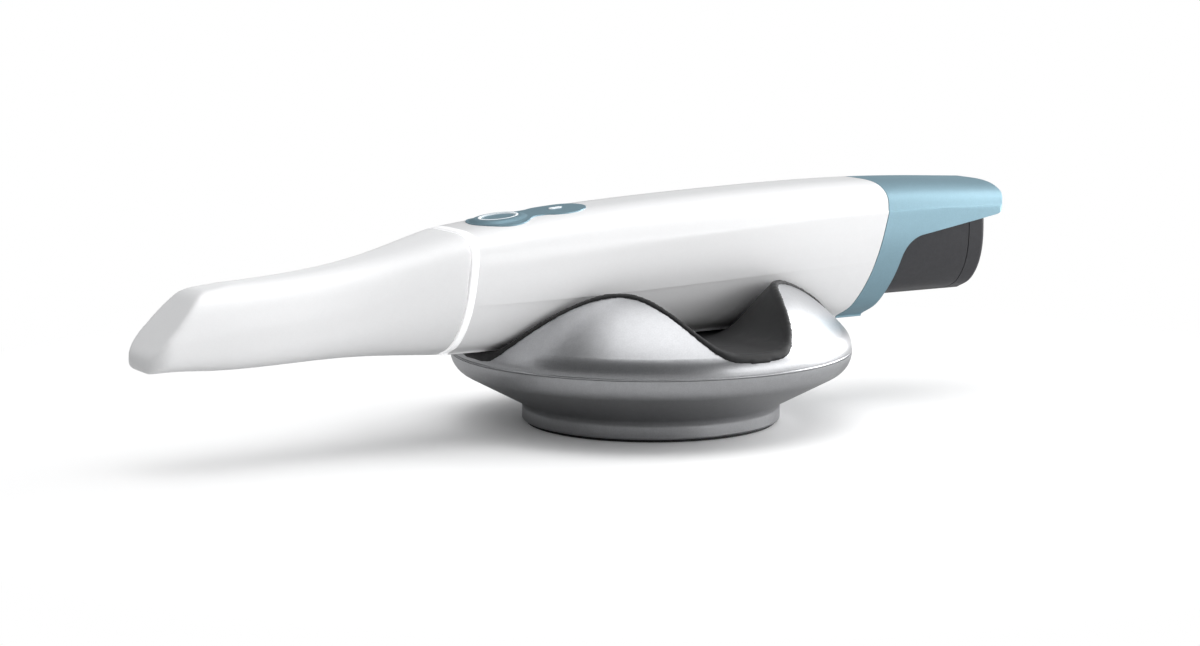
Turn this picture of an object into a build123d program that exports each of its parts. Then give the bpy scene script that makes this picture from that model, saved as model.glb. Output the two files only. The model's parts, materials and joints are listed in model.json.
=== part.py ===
from build123d import *
import os
from collections import namedtuple
from functools import lru_cache
from math import asin, atan, cos, degrees, pi, radians, sin, sqrt, tan

# Cordless intraoral scanner lying in its four-lobed desk stand, as separate pieces.
#
# Frame: the origin is the middle of the stand's foot, on the table.  +X runs from the
# scanning tip to the battery, +Z is up, and the object is mirror-symmetric in Y.
# Lengths are in millimetres.  Heights of the scanner's own pieces are given above the
# lowest line of its belly, and each piece is lifted to its place in the stand when written.

# ---- stand ------------------------------------------------------------------------------
FOOT_RADIUS = 37.7          # outside of the short round foot
FOOT_TOP = 5.9              # height where the foot meets the underside cone
PAD_THICKNESS = 1.6         # rubber pad under the foot
PAD_STANDOUT = 0.8          # how far the pad stands below the foot
PAD_INSET = 1.2             # foot's edge round the pad
FOOT_ROUNDING = 0.5         # bottom edge of the foot
RIM_RADIUS = 58.4           # widest radius of the stand
RIM_HEIGHT = 21.0           # height of the lower shell's lip
RIM_GAP = 0.7               # shadow gap between the two shells
LOWER_RIM_ARC = 6.8         # radius that turns the cone up into the rim
UPPER_RIM_ARC = 7.4         # radius that turns the rim in to the dome
UPPER_RIM_TURN = 41.5       # angle where the rim arc meets the dome, degrees
RIM_BAND = 0.2              # upright band of the upper shell over the shadow gap
DOME_RADIUS = 60.3          # radius of the dome's profile
STAND_WALL = 2.2            # wall of both stand shells
SKIRT_RADIUS = 56.5         # outside of the upper shell's skirt, inside the lower shell
SKIRT_BOTTOM = 17.9
CRADLE_FLOOR = 24.8         # top of the liner at the middle of the trough
LOBE_RISE = 25.7            # how far the cradle would rise far out on a diagonal
LOBE_SPREAD = 19.6          # distance from the middle where that rise is half reached
LOBE_POWER = 4.5            # how sharply the troughs turn up into the lobes
FINGER_RISE = 2.3           # how far the finger gaps rise towards the sides
CRADLE_MARGIN = 10.9        # how far the cradle surface is drawn past the rim
CRADLE_STEPS = 29           # points along each side of that surface
LINER_THICKNESS = 2.1
LINER_STANDOUT = 0.4        # how far the liner's edge stands out of the dome
BALLAST_RADIUS = 25.2
BALLAST_BORE = 8.0
BALLAST_HEIGHT = 12.0
SPIGOT_SHARE = 0.7          # height of the spigot in the ballast's bore, of its height
STAND_FLOOR = 3.0           # floor of the lower shell
BOSS_CIRCLE = 31.5          # radius of the circle of the four shell screws
BOSS_RADIUS = 3.6
STAND_SCREW_RADIUS = 1.5
STAND_SCREW_HEAD = 2.8
STAND_SCREW_HEAD_HEIGHT = 1.6
STAND_SCREW_LENGTH = 14.0
SCREW_TIP_ROOM = 1.0        # how much deeper than the screws their holes are

# ---- scanner: outside -------------------------------------------------------------------
REST_GAP = 0.4              # belly above the liner
HOUSING_WALL = 2.0
FRONT_SEAM_X = -66.3        # front edge of the housings, at the height below
FRONT_SEAM_HEIGHT = 21.3
FRONT_SEAM_SLOPE = 0.134    # how far the front edge leans, X per height
REAR_SEAM_X = 69.4
REAR_SEAM_HEIGHT = 29.1
REAR_SEAM_SLOPE = 0.266
PARTING_HEIGHT = 15.8       # crease between the two housings, over the front and middle
PARTING_RISE = 3.2          # how far the crease has risen at the rear seam
BELLY_STEP = 0.8            # how far the lower housing sits in under the crease
RING_WIDTH = 1.8            # white trim ring between tip and housings
TONGUE_LENGTH = 2.5         # lip of ring and cover that goes inside the housings
TONGUE_WALL = 1.1
TIP_LENGTH = 90.6           # tip, from the ring to its end face
TIP_WALL = 1.4
TIP_GAP = 0.35              # clearance between nose and tip
SLOPE_ANGLE = 47.0          # face behind the mirror, from the horizontal
SLOPE_TOP_X = -142.5        # where the sloped face leaves the tip's top
SLOPE_TOP_HEIGHT = 23.7     # crown of the tip where the sloped face would meet it
TIP_END_HALF_WIDTH = 10.9   # of the tip's end seen from above, and how it widens
TIP_END_SPREAD = 1.9        # over the first part of the tip
TIP_END_ROUNDING = 6.5      # corners of the tip's end seen from above
TIP_CHIN_ROUNDING = 5.0     # edge between the sloped face and the end face
TIP_KEEL_ROUNDING = 2.5     # lower edge of the tip's end
TIP_CROWN_ROUNDING = 7.0    # edge between the sloped face and the tip's top
TIP_LAND_HEIGHT = 22.9      # front edge of the shallow flat behind the sloped face
TIP_LAND_LENGTH = 12.0      # from the top of the sloped face to the flat's end
TIP_LAND_RISE = 1.4         # how far the flat rises over that length
TIP_BORE_ROUNDING = 1.0     # the hollow's lower front corner
SCAN_WINDOW_LENGTH = 14.0
SCAN_WINDOW_WIDTH = 13.0
SCAN_WINDOW_ROUNDING = 3.0
MIRROR_LENGTH = 14.0
MIRROR_WIDTH = 12.4
MIRROR_THICKNESS = 1.2
MIRROR_FRAME = 0.7          # width of the frame round the mirror
MIRROR_FRAME_LIP = 0.3      # how far the frame stands over the glass
MIRROR_RAISE = 1.0          # middle of the mirror over the optical axis
SEAM_GAP = 0.25             # shadow line between the housings and the blue cover
ROOTING = 0.5               # how deep posts, webs and joint rings reach into a wall
SHELL_SCREW_X = (12.0, 24.0)
SHELL_SCREW_LENGTH = 7.0
SHELL_POST_RADIUS = 3.0
SHELL_HOLE_DEPTH = 8.0
COVER_BAND = 9.2            # length of the blue band behind the rear seam
COVER_WALL = 2.2
COVER_BOSS_RADIUS = 1.5
COVER_BOSS_Y = 11.6
COVER_BOSS_HEIGHT = 36.6
COVER_BOSS_REACH = 8.0      # how far the bosses start before the rear seam
COVER_SEAT_DEPTH = 0.8      # how deep the cover's screws sit in its band
COVER_SCREW_LENGTH = 9.0
VISOR_LENGTH = 45.6         # from the rear seam to the visor's end
VISOR_END_ROUNDING = 4.0    # corners of the visor's end seen from above
VISOR_EDGE_HEIGHT = 25.1    # lower edge of the visor where it leaves the band
VISOR_EDGE_SLOPE = 0.165    # rise of that edge towards the rear
VISOR_TAIL_ROUNDING = 5.0   # lower rear corner of the visor
VISOR_NOTCH_ROUNDING = 9.0  # corner between the visor's edge and the band
VISOR_PLAN_SPARE = 0.1      # how much wider than the handle the visor's plan is drawn
FIT = 0.1                   # clearance of pieces fixed to each other
RUN = 0.3                   # clearance of pieces that slide past each other

# ---- scanner: battery -------------------------------------------------------------------
BATTERY_FRONT_X = 37.8
BATTERY_END_X = 110.0
BATTERY_HALF_WIDTH = 16.0
BATTERY_BOTTOM = 6.5
BATTERY_TOP = 34.2
BATTERY_WIDEST = 26.2
BATTERY_WALL = 1.2
BATTERY_CAP_LENGTH = 6.3
BATTERY_CAP_GAP = 0.3
BATTERY_CAP_ROUNDING = 1.8
BATTERY_CAP_WALL = 3.0      # end wall of the cap, and how far it reaches into the case
BATTERY_CAP_SKIRT = 1.2     # wall of the cap's part inside the case
BAY_WALL = 0.8
BAY_FRONT_WALL = 1.6
BAY_SCREW_Y = 10.0
BAY_SCREW_HEIGHT = 29.9
BAY_SCREW_LENGTH = 3.3
CELL_RADIUS = 6.8
CELL_LENGTH = 50.0
CELL_SETBACK = 4.0          # from the battery's front to the cells
TRAY_FLOOR = 1.5            # tray under the cells
TRAY_END_WALL = 2.0
TRAY_SIDE_DROP = 2.0        # top of the tray's sides under the cells' middle
CONTACT_PITCH = 4.0
CONTACT_COUNT = 4
CONTACT_HEIGHT = 18.4
CONTACT_RADIUS = 1.2
CONTACT_PIN_RADIUS = 0.7
CONTACT_BOARD_REACH = 5.0   # half-height of the contact board
LEAF_X = (50.0, 64.0)       # retention spring under the bay, and its nub
LEAF_NUB_X = (58.0, 61.0)
LEAF_HALF_WIDTH = 2.5
LEAF_THICKNESS = 0.3

# ---- scanner: control pad ---------------------------------------------------------------
BUTTON_X = -50.4
BUTTON_RADIUS = 4.8
BUTTON_TRAVEL = 0.5
BUTTON_PROUD = 0.6
BUTTON_HEAD = 1.2           # underside of the button's cap over the end of its stem
BUTTON_STEM_RADIUS = 1.3
BUTTON_BOARD_TOP = 30.6
BUTTON_BOARD_HALF_WIDTH = 8.5
BUTTON_BOARD_REACH = 10.0   # from the button's middle to the board's rear edge
BUTTON_POST_RADIUS = 1.4
BUTTON_POST_Y = 7.0
SWITCH_HEIGHT = 1.5
SWITCH_HALF_SIZE = 2.2
SWITCH_KEY_RADIUS = 1.2
SWITCH_KEY_HEIGHT = 0.4
LIGHT_RING_WALL = 0.6
PAD_FRONT_LENGTH = 8.6      # wide lobe of the pad, round the button: half its length
PAD_FRONT_WIDTH = 11.0      # and half its width
PAD_REAR_RADIUS = 8.7       # narrow lobe, round the indicator
PAD_REAR_X = -32.0
PAD_WAIST = 6.0             # half-width of the waist between the lobes
PAD_WAIST_ROUNDING = 4.5
PAD_DEPTH = 1.2
PAD_PROUD = 0.25
PAD_SEAT_GAP = 0.03         # under the pad, in its recess
MOUND_HEIGHT = 0.95         # raised collar of the pad round the button
MOUND_FOOT = 9.6            # radius where it leaves the pad
MOUND_TOP = 6.2             # radius where it is full height
RING_PROUD = 0.95           # light ring over the housing
INDICATOR_PROUD = 0.5
INDICATOR_LENGTH = 4.0
INDICATOR_WIDTH = 1.9

# ---- scanner: optics --------------------------------------------------------------------
AXIS_HEIGHT = 12.9          # optical axis
NOSE_TIP_X = -117.6
NOSE_BORE = 7.0
NOSE_DRAFT = 0.5            # how much further in the nose stands at its front
NOSE_WALL = 1.8
NOSE_COLLAR_LENGTH = 6.0    # full-size collar before the front seam
SEAL_X = -73.0
SEAL_WIDTH = 1.4
SEAL_DEPTH = 0.75
SPRING_FRONT_X = -90.3
SPRING_LENGTH = 10.0
SPRING_LOW = 11.5
SPRING_HIGH = 16.5
SPRING_DEPTH = 0.55
GROOVE_SPARE = 0.05         # how much deeper their grooves are
FLANGE_SCREW_Y = 11.9
FLANGE_SCREW_HEIGHT = 19.9
FLANGE_SCREW_LENGTH = 6.0
WINDOW_THICKNESS = 1.2
WINDOW_LEDGE = 0.5          # ledge that the window rests on
NOSE_LENS_X = -105.0
FLANGE_THICKNESS = 2.2
LENS_RADIUS = 6.4
BENCH_HEIGHT = 23.9         # underside of the chassis plate
BENCH_THICKNESS = 1.6
BENCH_HALF_WIDTH = 13.7
BULKHEAD_THICKNESS = 2.0
BULKHEAD_FOOT = 3.0         # lowest point of the bulkheads
ROD_RADIUS = 1.0
ROD_OFFSET = 10.0           # guide rods either side of the axis
CARRIAGE_LENGTH = 6.0
CARRIAGE_RADIUS = 8.0
FOCUS_TRAVEL = 2.0          # each way
FOCUS_STOP = 4.5            # room left behind the carriage at the end of its travel
CARRIAGE_BORE_GAP = 0.05    # round the guide rods
COIL_THICKNESS = 0.8
COIL_HALF_LENGTH = 3.0
COIL_HALF_WIDTH = 4.5
COIL_WIRE = 2.0
MAGNET_THICKNESS = 1.2
MAGNET_LENGTH = 3.8
MAGNET_HALF_WIDTH = 5.5
MAGNET_PITCH = 4.2
BARREL_FRONT_X = -38.3
BARREL_LENGTH = 20.0
BARREL_RADIUS = 8.0
SPLITTER_SIZE = 13.0
SPLITTER_X = -8.9
SENSOR_SIZE = 9.0
SENSOR_THICKNESS = 1.4
SENSOR_DISTANCE = 4.1       # from the splitter to the sensor's board
SENSOR_BOARD_HALF_WIDTH = 7.5
RIBBON_THICKNESS = 0.3
RIBBON_WIDTH = 7.0
BOARD_THICKNESS = 1.2
STANDOFF = 1.5
STANDOFF_RADIUS = 1.8
STANDOFF_Y = 10.0
STANDOFF_SETBACK = 3.0      # from the board's ends
MAIN_BOARD_FRONT_X = -35.7
MAIN_BOARD_REAR_X = 29.4
MAIN_BOARD_HALF_WIDTH = 13.1
ANTENNA_LENGTH = 18.0
ANTENNA_HALF_WIDTH = 6.0
ANTENNA_THICKNESS = 0.8
LAMP_HOLDER_SIZE = 15.0
LAMP_HOLDER_HEIGHT = 7.6
LAMP_BORE = 6.1
LAMP_LEDGE = 0.7            # ledge under the pattern plate
LAMP_LEDGE_HEIGHT = 1.5
PATTERN_THICKNESS = 0.8
COLLIMATOR_HEIGHT = 4.4     # middle of the collimator lens over the bench
LAMP_BOARD_THICKNESS = 1.0
SINK_BASE = 0.8
FIN_COUNT = 6
FIN_THICKNESS = 0.8
FIN_HEIGHT = 1.8            # from the sink's underside
SCREW_RADIUS = 0.8
SCREW_HEAD_RADIUS = 1.5
SCREW_HEAD_HEIGHT = 1.2
SOCKET_FLOOR = 0.4          # floor of a screw's socket, as a share of its head's height
SOCKET_SIZE = 0.8           # radius of the socket, as a share of the shank's

# chips on the main board: centre X, centre Y either side, length, width, height
BOARD_CHIPS = [
    (12.0, 0.0, 12.0, 12.0, 1.6),
    (22.0, 0.0, 5.0, 9.0, 1.2),
    (-26.0, 0.0, 9.0, 10.0, 2.0),
    (-21.0, 10.5, 3.0, 3.0, 1.0),
    (4.0, 9.0, 4.0, 4.0, 1.8),
    (15.0, 10.2, 8.0, 3.0, 2.4),
]

# ---- derived places ---------------------------------------------------------------------
PAD_RADIUS = FOOT_RADIUS - PAD_INSET
STAND_FLOOR_TOP = PAD_THICKNESS + STAND_FLOOR
BELLY_Z = CRADLE_FLOOR + REST_GAP
TONGUE_OUTER = HOUSING_WALL + FIT
TONGUE_INNER = TONGUE_OUTER + TONGUE_WALL
NOSE_INSET = TIP_WALL + TIP_GAP
RING_BORE = BUTTON_RADIUS + RUN
RING_OUTSIDE = RING_BORE + LIGHT_RING_WALL
BENCH_TOP = BENCH_HEIGHT + BENCH_THICKNESS
BOARD_BOTTOM = BENCH_TOP + STANDOFF
BOARD_TOP = BOARD_BOTTOM + BOARD_THICKNESS
CARRIAGE_X = BARREL_FRONT_X - FOCUS_STOP - FOCUS_TRAVEL - CARRIAGE_LENGTH / 2
SPLITTER_FRONT_X = SPLITTER_X - SPLITTER_SIZE / 2
SPLITTER_REAR_X = SPLITTER_X + SPLITTER_SIZE / 2
FLANGE_REAR_X = FRONT_SEAM_X + 6.6
BENCH_FRONT_X = FLANGE_REAR_X
TIP_END_X = FRONT_SEAM_X - RING_WIDTH - TIP_LENGTH
VISOR_END_X = REAR_SEAM_X + VISOR_LENGTH
BAY_FRONT_X = BATTERY_FRONT_X - RUN - BAY_FRONT_WALL
BENCH_REAR_X = BAY_FRONT_X
BARREL_REAR_X = BARREL_FRONT_X + BARREL_LENGTH
SENSOR_BOARD_X = SPLITTER_REAR_X + SENSOR_DISTANCE
BUTTON_BOARD_FRONT_X = FLANGE_REAR_X + 0.5
BUTTON_BOARD_REAR_X = BUTTON_X + BUTTON_BOARD_REACH
LAMP_TOP = BENCH_TOP + LAMP_HOLDER_HEIGHT
BATTERY_CASE_REAR_X = BATTERY_END_X - BATTERY_CAP_LENGTH - BATTERY_CAP_GAP
CELL_FRONT_X = BATTERY_FRONT_X + CELL_SETBACK
CELL_HEIGHT = BATTERY_TOP - BATTERY_WALL - CELL_RADIUS - RUN
LOW = -20.0                 # reach of cutting blocks under and over the scanner
HIGH = 60.0

# The outside of the scanner, as superellipse sections across X: height of the crown and of
# the keel, half-width, height where the section is widest, and the power of the curve above
# and below that height.
Station = namedtuple(
    "Station", "x crown keel half_width widest power_above power_below belly_step",
    defaults=(0.0,))
HANDLE_STATIONS = [
    Station(-77.7, 33.2, -0.1, 16.6, 19.9, 3.9, 2.13, 0.3),
    Station(-66.3, 34.6, -0.1, 17.3, 21.3, 3.8, 2.13, 0.4),
    Station(-42.0, 37.4, -0.1, 18.4, 23.4, 3.5, 2.13, 1.0),
    Station(0.0, 40.3, 0.0, 19.5, 26.0, 3.2, 2.13, 0.9),
    Station(69.3, 42.0, 0.4, 20.1, 29.1, 2.9, 2.13),
    Station(102.9, 40.8, 0.4, 19.8, 29.1, 2.9, 2.13),
    Station(136.5, 39.8, 0.4, 19.4, 29.1, 2.9, 2.13),
]
TIP_STATIONS = [
    Station(-163.8, 23.6, 1.5, 11.8, 6.8, 3.0, 3.4),
    Station(-131.2, 24.2, 1.5, 12.0, 7.9, 3.0, 3.2),
    Station(-109.2, 25.8, 1.8, 12.6, 10.0, 3.1, 2.8),
    Station(-94.5, 28.0, 1.5, 13.7, 13.1, 3.2, 2.5),
    Station(-79.8, 31.3, 0.6, 15.6, 17.6, 3.5, 2.3),
    Station(-66.3, 34.6, -0.1, 17.3, 21.3, 3.8, 2.13),
    Station(-52.5, 36.3, -0.1, 18.0, 22.6, 3.6, 2.13),
]
BATTERY_STATION = Station(0.0, BATTERY_TOP, BATTERY_BOTTOM, BATTERY_HALF_WIDTH,
                          BATTERY_WIDEST, 4.0, 2.3)
QUADRANT_POINTS = 7         # points along each quarter of a section
MARK_POWER_ABOVE = 3.3      # powers that space those points, the same for every section,
MARK_POWER_BELOW = 2.4      # so that lofts stay light


# ---- small helpers ----------------------------------------------------------------------
def block(x0, x1, y0, y1, z0, z1):
    """Box between two corners."""
    box = Box(x1 - x0, y1 - y0, z1 - z0)
    return Pos((x0 + x1) / 2, (y0 + y1) / 2, (z0 + z1) / 2) * box


def post(x, y, z0, z1, radius):
    """Upright cylinder between two heights."""
    return Pos(x, y, (z0 + z1) / 2) * Cylinder(radius, z1 - z0)


def rod(x0, x1, y, z, radius):
    """Cylinder along X."""
    return Pos((x0 + x1) / 2, y, z) * Rot(0, 90, 0) * Cylinder(radius, x1 - x0)


def mirrored(shape):
    """A piece and its mirror image across the middle plane."""
    return shape + mirror(shape, Plane.XZ)


def side_profile(*edges, half_width=40.0):
    """Prism across Y of an outline drawn in X and height."""
    outline = make_face(Plane.XZ * Wire(list(edges)))
    return extrude(outline, half_width, both=True)


def side_polygon(*points, half_width=40.0):
    """Prism across Y of a straight-sided outline drawn in X and height."""
    outline = make_face(Plane.XZ * Polyline(*points, close=True))
    return extrude(outline, half_width, both=True)


def screw(x, y, seat, length, head_up=True, radius=SCREW_RADIUS, head=SCREW_HEAD_RADIUS,
          head_height=SCREW_HEAD_HEIGHT):
    """Pan-head screw whose head bears on the height 'seat'."""
    up = 1 if head_up else -1
    heights = sorted((seat, seat + up * head_height))
    shank = sorted((seat, seat - up * length))
    socket = sorted((seat + up * head_height, seat + up * head_height * SOCKET_FLOOR))
    body = post(x, y, *heights, head) + post(x, y, *shank, radius)
    return body - post(x, y, *socket, radius * SOCKET_SIZE)


def screw_along_x(seat, y, z, length, head_to_rear=True):
    """Pan-head screw along X whose head bears on the plane X = seat."""
    way = 1 if head_to_rear else -1
    head = sorted((seat, seat + way * SCREW_HEAD_HEIGHT))
    shank = sorted((seat, seat - way * length))
    height = way * SCREW_HEAD_HEIGHT
    socket = sorted((seat + height, seat + height * SOCKET_FLOOR))
    body = rod(*head, y, z, SCREW_HEAD_RADIUS) + rod(*shank, y, z, SCREW_RADIUS)
    return body - rod(*socket, y, z, SCREW_RADIUS * SOCKET_SIZE)


def lens(x, radius, thickness, z=AXIS_HEIGHT, bulge=1.0):
    """Biconvex lens on the optical axis, with a flat rim."""
    rim = thickness / 2 - bulge
    ball = (radius ** 2 + bulge ** 2) / (2 * bulge)
    outline = [
        Line((0, 0), (radius, 0)),
        Line((radius, 0), (radius, rim)),
        RadiusArc((radius, rim), (0, thickness / 2), -ball),
        Line((0, thickness / 2), (0, 0)),
    ]
    half = revolve(make_face(Plane.XZ * Wire(outline)), Axis.Z)
    whole = half + mirror(half, Plane.XY)
    return Pos(x, 0, z) * Rot(0, 90, 0) * whole


# ---- section surfaces -------------------------------------------------------------------
def spread_marks(power):
    """Share of a unit superellipse's quarter that is covered at each of its points."""
    turns = [radians(90 * i / (QUADRANT_POINTS - 1)) for i in range(QUADRANT_POINTS)]
    corners = [(abs(cos(t)) ** (2 / power), sin(t) ** (2 / power)) for t in turns]
    covered = [0.0]
    for (y0, z0), (y1, z1) in zip(corners, corners[1:]):
        covered.append(covered[-1] + sqrt((y1 - y0) ** 2 + (z1 - z0) ** 2))
    return [length / covered[-1] for length in covered]


MARKS_ABOVE = spread_marks(MARK_POWER_ABOVE)
MARKS_BELOW = spread_marks(MARK_POWER_BELOW)


def quarter(x, y_reach, z_reach, widest, power, from_side):
    """Quarter of a superellipse, from its widest point to crown or keel, or back."""
    points = []
    for i in range(QUADRANT_POINTS):
        turn = radians(90 * i / (QUADRANT_POINTS - 1))
        along, rise = cos(turn), sin(turn)
        if i == QUADRANT_POINTS - 1:
            along, rise = 0.0, 1.0
        points.append((x, y_reach * along ** (2 / power),
                       widest + z_reach * rise ** (2 / power)))
    marks = MARKS_ABOVE if z_reach > 0 else MARKS_BELOW
    up = (0, 0, 1 if z_reach > 0 else -1)
    inward = (0, -1 if y_reach > 0 else 1, 0)
    if from_side:
        return Edge.make_spline(points, tangents=(up, inward), parameters=marks)
    points.reverse()
    marks = [1 - mark for mark in reversed(marks)]
    back_out = (0, -inward[1], 0)
    down = (0, 0, -up[2])
    return Edge.make_spline(points, tangents=(back_out, down), parameters=marks)


def section(station, inset=0.0, narrowing=0.0):
    """Closed wire of one station, set in by a wall."""
    s = station
    width = s.half_width - inset - narrowing
    above = s.crown - inset - s.widest
    below = s.widest - s.keel - inset
    return Wire([
        quarter(s.x, width, above, s.widest, s.power_above, True),
        quarter(s.x, -width, above, s.widest, s.power_above, False),
        quarter(s.x, -width, -below, s.widest, s.power_below, True),
        quarter(s.x, width, -below, s.widest, s.power_below, False),
    ])


@lru_cache(maxsize=None)
def handle_form(inset=0.0):
    """The handle's outside, or a surface set in from it."""
    return Solid.make_loft([section(s, inset) for s in HANDLE_STATIONS])


@lru_cache(maxsize=None)
def belly_form(inset=0.0):
    """The lower housing's outside: narrower under the crease, flush again at the rear."""
    wires = [section(s, inset, BELLY_STEP * s.belly_step) for s in HANDLE_STATIONS]
    return Solid.make_loft(wires)


@lru_cache(maxsize=None)
def tip_form(inset=0.0):
    """The tip's outside before its end is shaped, or a surface set in from it."""
    return Solid.make_loft([section(s, inset) for s in TIP_STATIONS])


def front_plane_x(height, offset=0.0):
    """X of the leaning front seam at a height."""
    return FRONT_SEAM_X + offset + FRONT_SEAM_SLOPE * (height - FRONT_SEAM_HEIGHT)


def rear_plane_x(height, offset=0.0):
    """X of the leaning rear seam at a height."""
    return REAR_SEAM_X + offset + REAR_SEAM_SLOPE * (height - REAR_SEAM_HEIGHT)


def between_seams(front_offset, rear_offset, front=front_plane_x, rear=rear_plane_x):
    """Block between a plane parallel to one seam and a plane parallel to another."""
    return side_polygon(
        (front(LOW, front_offset), LOW), (rear(LOW, rear_offset), LOW),
        (rear(HIGH, rear_offset), HIGH), (front(HIGH, front_offset), HIGH))


def parting_block(above):
    """Everything above, or below, the crease between the two housings."""
    crease = Spline(
        (-90, PARTING_HEIGHT - 0.1), (-15, PARTING_HEIGHT),
        (36, PARTING_HEIGHT + 0.65 * PARTING_RISE), (90, PARTING_HEIGHT + 1.2 * PARTING_RISE))
    far = HIGH if above else LOW
    return side_profile(
        crease, Line(crease @ 1, (90, far)), Line((90, far), (-90, far)),
        Line((-90, far), crease @ 0))


# ---- stand ------------------------------------------------------------------------------
def turned(*edges):
    """Body of revolution of an outline drawn in radius and height."""
    return revolve(make_face(Plane.XZ * Wire(list(edges))), Axis.Z)


def dome_form(inset=0.0, bottom=SKIRT_BOTTOM, skirt=SKIRT_RADIUS):
    """The upper shell's outside without the cradle, or a surface set in from it."""
    rim_arc = UPPER_RIM_ARC - inset
    dome_arc = DOME_RADIUS - inset
    rim_z = RIM_HEIGHT + RIM_GAP + RIM_BAND
    turn = radians(UPPER_RIM_TURN)
    rim_centre = RIM_RADIUS - UPPER_RIM_ARC
    dome_centre_r = rim_centre - (DOME_RADIUS - UPPER_RIM_ARC) * cos(turn)
    dome_centre_z = rim_z - (DOME_RADIUS - UPPER_RIM_ARC) * sin(turn)

    def on_rim(angle):
        return (rim_centre + rim_arc * cos(angle), rim_z + rim_arc * sin(angle))

    def on_dome(angle):
        return (dome_centre_r + dome_arc * cos(angle), dome_centre_z + dome_arc * sin(angle))

    rim_base = RIM_HEIGHT + RIM_GAP
    top = on_dome(pi / 2)
    edge = RIM_RADIUS - inset
    return turned(
        Line((0, bottom), (skirt, bottom)),
        Line((skirt, bottom), (skirt, rim_base)),
        Line((skirt, rim_base), (edge, rim_base)),
        Line((edge, rim_base), (edge, rim_z)),
        ThreePointArc((edge, rim_z), on_rim(turn / 2), on_rim(turn)),
        ThreePointArc(on_rim(turn), on_dome((turn + pi / 2) / 2), top),
        Line(top, (0, top[1])),
        Line((0, top[1]), (0, bottom)))


def cradle_height(x, y):
    """Height of the cradle: a trough each way, rising to four lobes on the diagonals."""
    def rise(distance):
        out = abs(distance) ** LOBE_POWER
        return out / (out + LOBE_SPREAD ** LOBE_POWER)
    return CRADLE_FLOOR + rise(y) * (FINGER_RISE + LOBE_RISE * rise(x))


@lru_cache(maxsize=None)
def cradle_surface():
    """The cradle as one smooth face."""
    reach = RIM_RADIUS + CRADLE_MARGIN
    pitch = 2 * reach / (CRADLE_STEPS - 1)
    marks = [-reach + pitch * i for i in range(CRADLE_STEPS)]
    grid = [[Vector(x, y, cradle_height(x, y)) for y in marks] for x in marks]
    return Face.make_surface_from_array_of_points(grid, tol=0.02)


def above_cradle(offset=0.0):
    """Everything over the cradle surface, moved up or down by an offset."""
    return extrude(Pos(0, 0, offset) * cradle_surface(), 60, dir=(0, 0, 1))


def lower_shell_profile(inset=0.0):
    """Underside, from the foot's top to the rim: start of the cone, start and end of arc."""
    radius = RIM_RADIUS + 0.1
    arc = LOWER_RIM_ARC
    cone_foot = (FOOT_RADIUS, FOOT_TOP)
    centre = (radius - arc, RIM_HEIGHT)
    reach = sqrt((centre[0] - cone_foot[0]) ** 2 + (centre[1] - cone_foot[1]) ** 2)
    bearing = atan((centre[1] - cone_foot[1]) / (centre[0] - cone_foot[0]))
    slope = bearing - asin(arc / reach)
    normal = slope - pi / 2
    touch = (centre[0] + (arc - inset) * cos(normal), centre[1] + (arc - inset) * sin(normal))
    middle = normal / 2
    half_way = (centre[0] + (arc - inset) * cos(middle),
                centre[1] + (arc - inset) * sin(middle))
    end = (radius - inset, RIM_HEIGHT)
    return touch, half_way, end, slope


def stand_screw_places():
    """Four places on the diagonals, under the lobes."""
    reach = BOSS_CIRCLE * cos(radians(45))
    return [(sx * reach, sy * reach) for sx in (-1, 1) for sy in (-1, 1)]


def make_stand_lower_shell():
    touch, half_way, end, slope = lower_shell_profile()
    inner_touch, inner_half, inner_end, _ = lower_shell_profile(STAND_WALL)
    wall_radius = FOOT_RADIUS - STAND_WALL
    inner_foot_z = inner_touch[1] - (inner_touch[0] - wall_radius) * tan(slope)
    lip = SKIRT_RADIUS + FIT
    outside = turned(
        Line((0, PAD_STANDOUT), (FOOT_RADIUS, PAD_STANDOUT)),
        Line((FOOT_RADIUS, PAD_STANDOUT), (FOOT_RADIUS, FOOT_TOP)),
        Line((FOOT_RADIUS, FOOT_TOP), touch),
        ThreePointArc(touch, half_way, end),
        Line(end, (0, RIM_HEIGHT)),
        Line((0, RIM_HEIGHT), (0, PAD_STANDOUT)))
    inside = turned(
        Line((0, STAND_FLOOR_TOP), (wall_radius, STAND_FLOOR_TOP)),
        Line((wall_radius, STAND_FLOOR_TOP), (wall_radius, inner_foot_z)),
        Line((wall_radius, inner_foot_z), inner_touch),
        ThreePointArc(inner_touch, inner_half, inner_end),
        Line(inner_end, (0, RIM_HEIGHT)),
        Line((0, RIM_HEIGHT), (0, STAND_FLOOR_TOP)))
    shell = outside - inside
    shell -= post(0, 0, SKIRT_BOTTOM - FIT, RIM_HEIGHT + 1, lip)
    shell -= post(0, 0, 0, PAD_THICKNESS, PAD_RADIUS + FIT)
    shell += post(0, 0, STAND_FLOOR_TOP, STAND_FLOOR_TOP + BALLAST_HEIGHT * SPIGOT_SHARE,
                  BALLAST_BORE - FIT)
    for x, y in stand_screw_places():
        shell -= post(x, y, 0, PAD_THICKNESS + STAND_SCREW_HEAD_HEIGHT, STAND_SCREW_HEAD + FIT)
        shell -= post(x, y, 0, STAND_FLOOR_TOP + 1, STAND_SCREW_RADIUS + FIT)
    foot_edges = shell.edges().filter_by(GeomType.CIRCLE)
    foot_edge = [e for e in foot_edges
                 if abs(e.radius - FOOT_RADIUS) < 0.01 and e.center().Z < PAD_STANDOUT + 0.1]
    return fillet(foot_edge, FOOT_ROUNDING)


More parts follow.
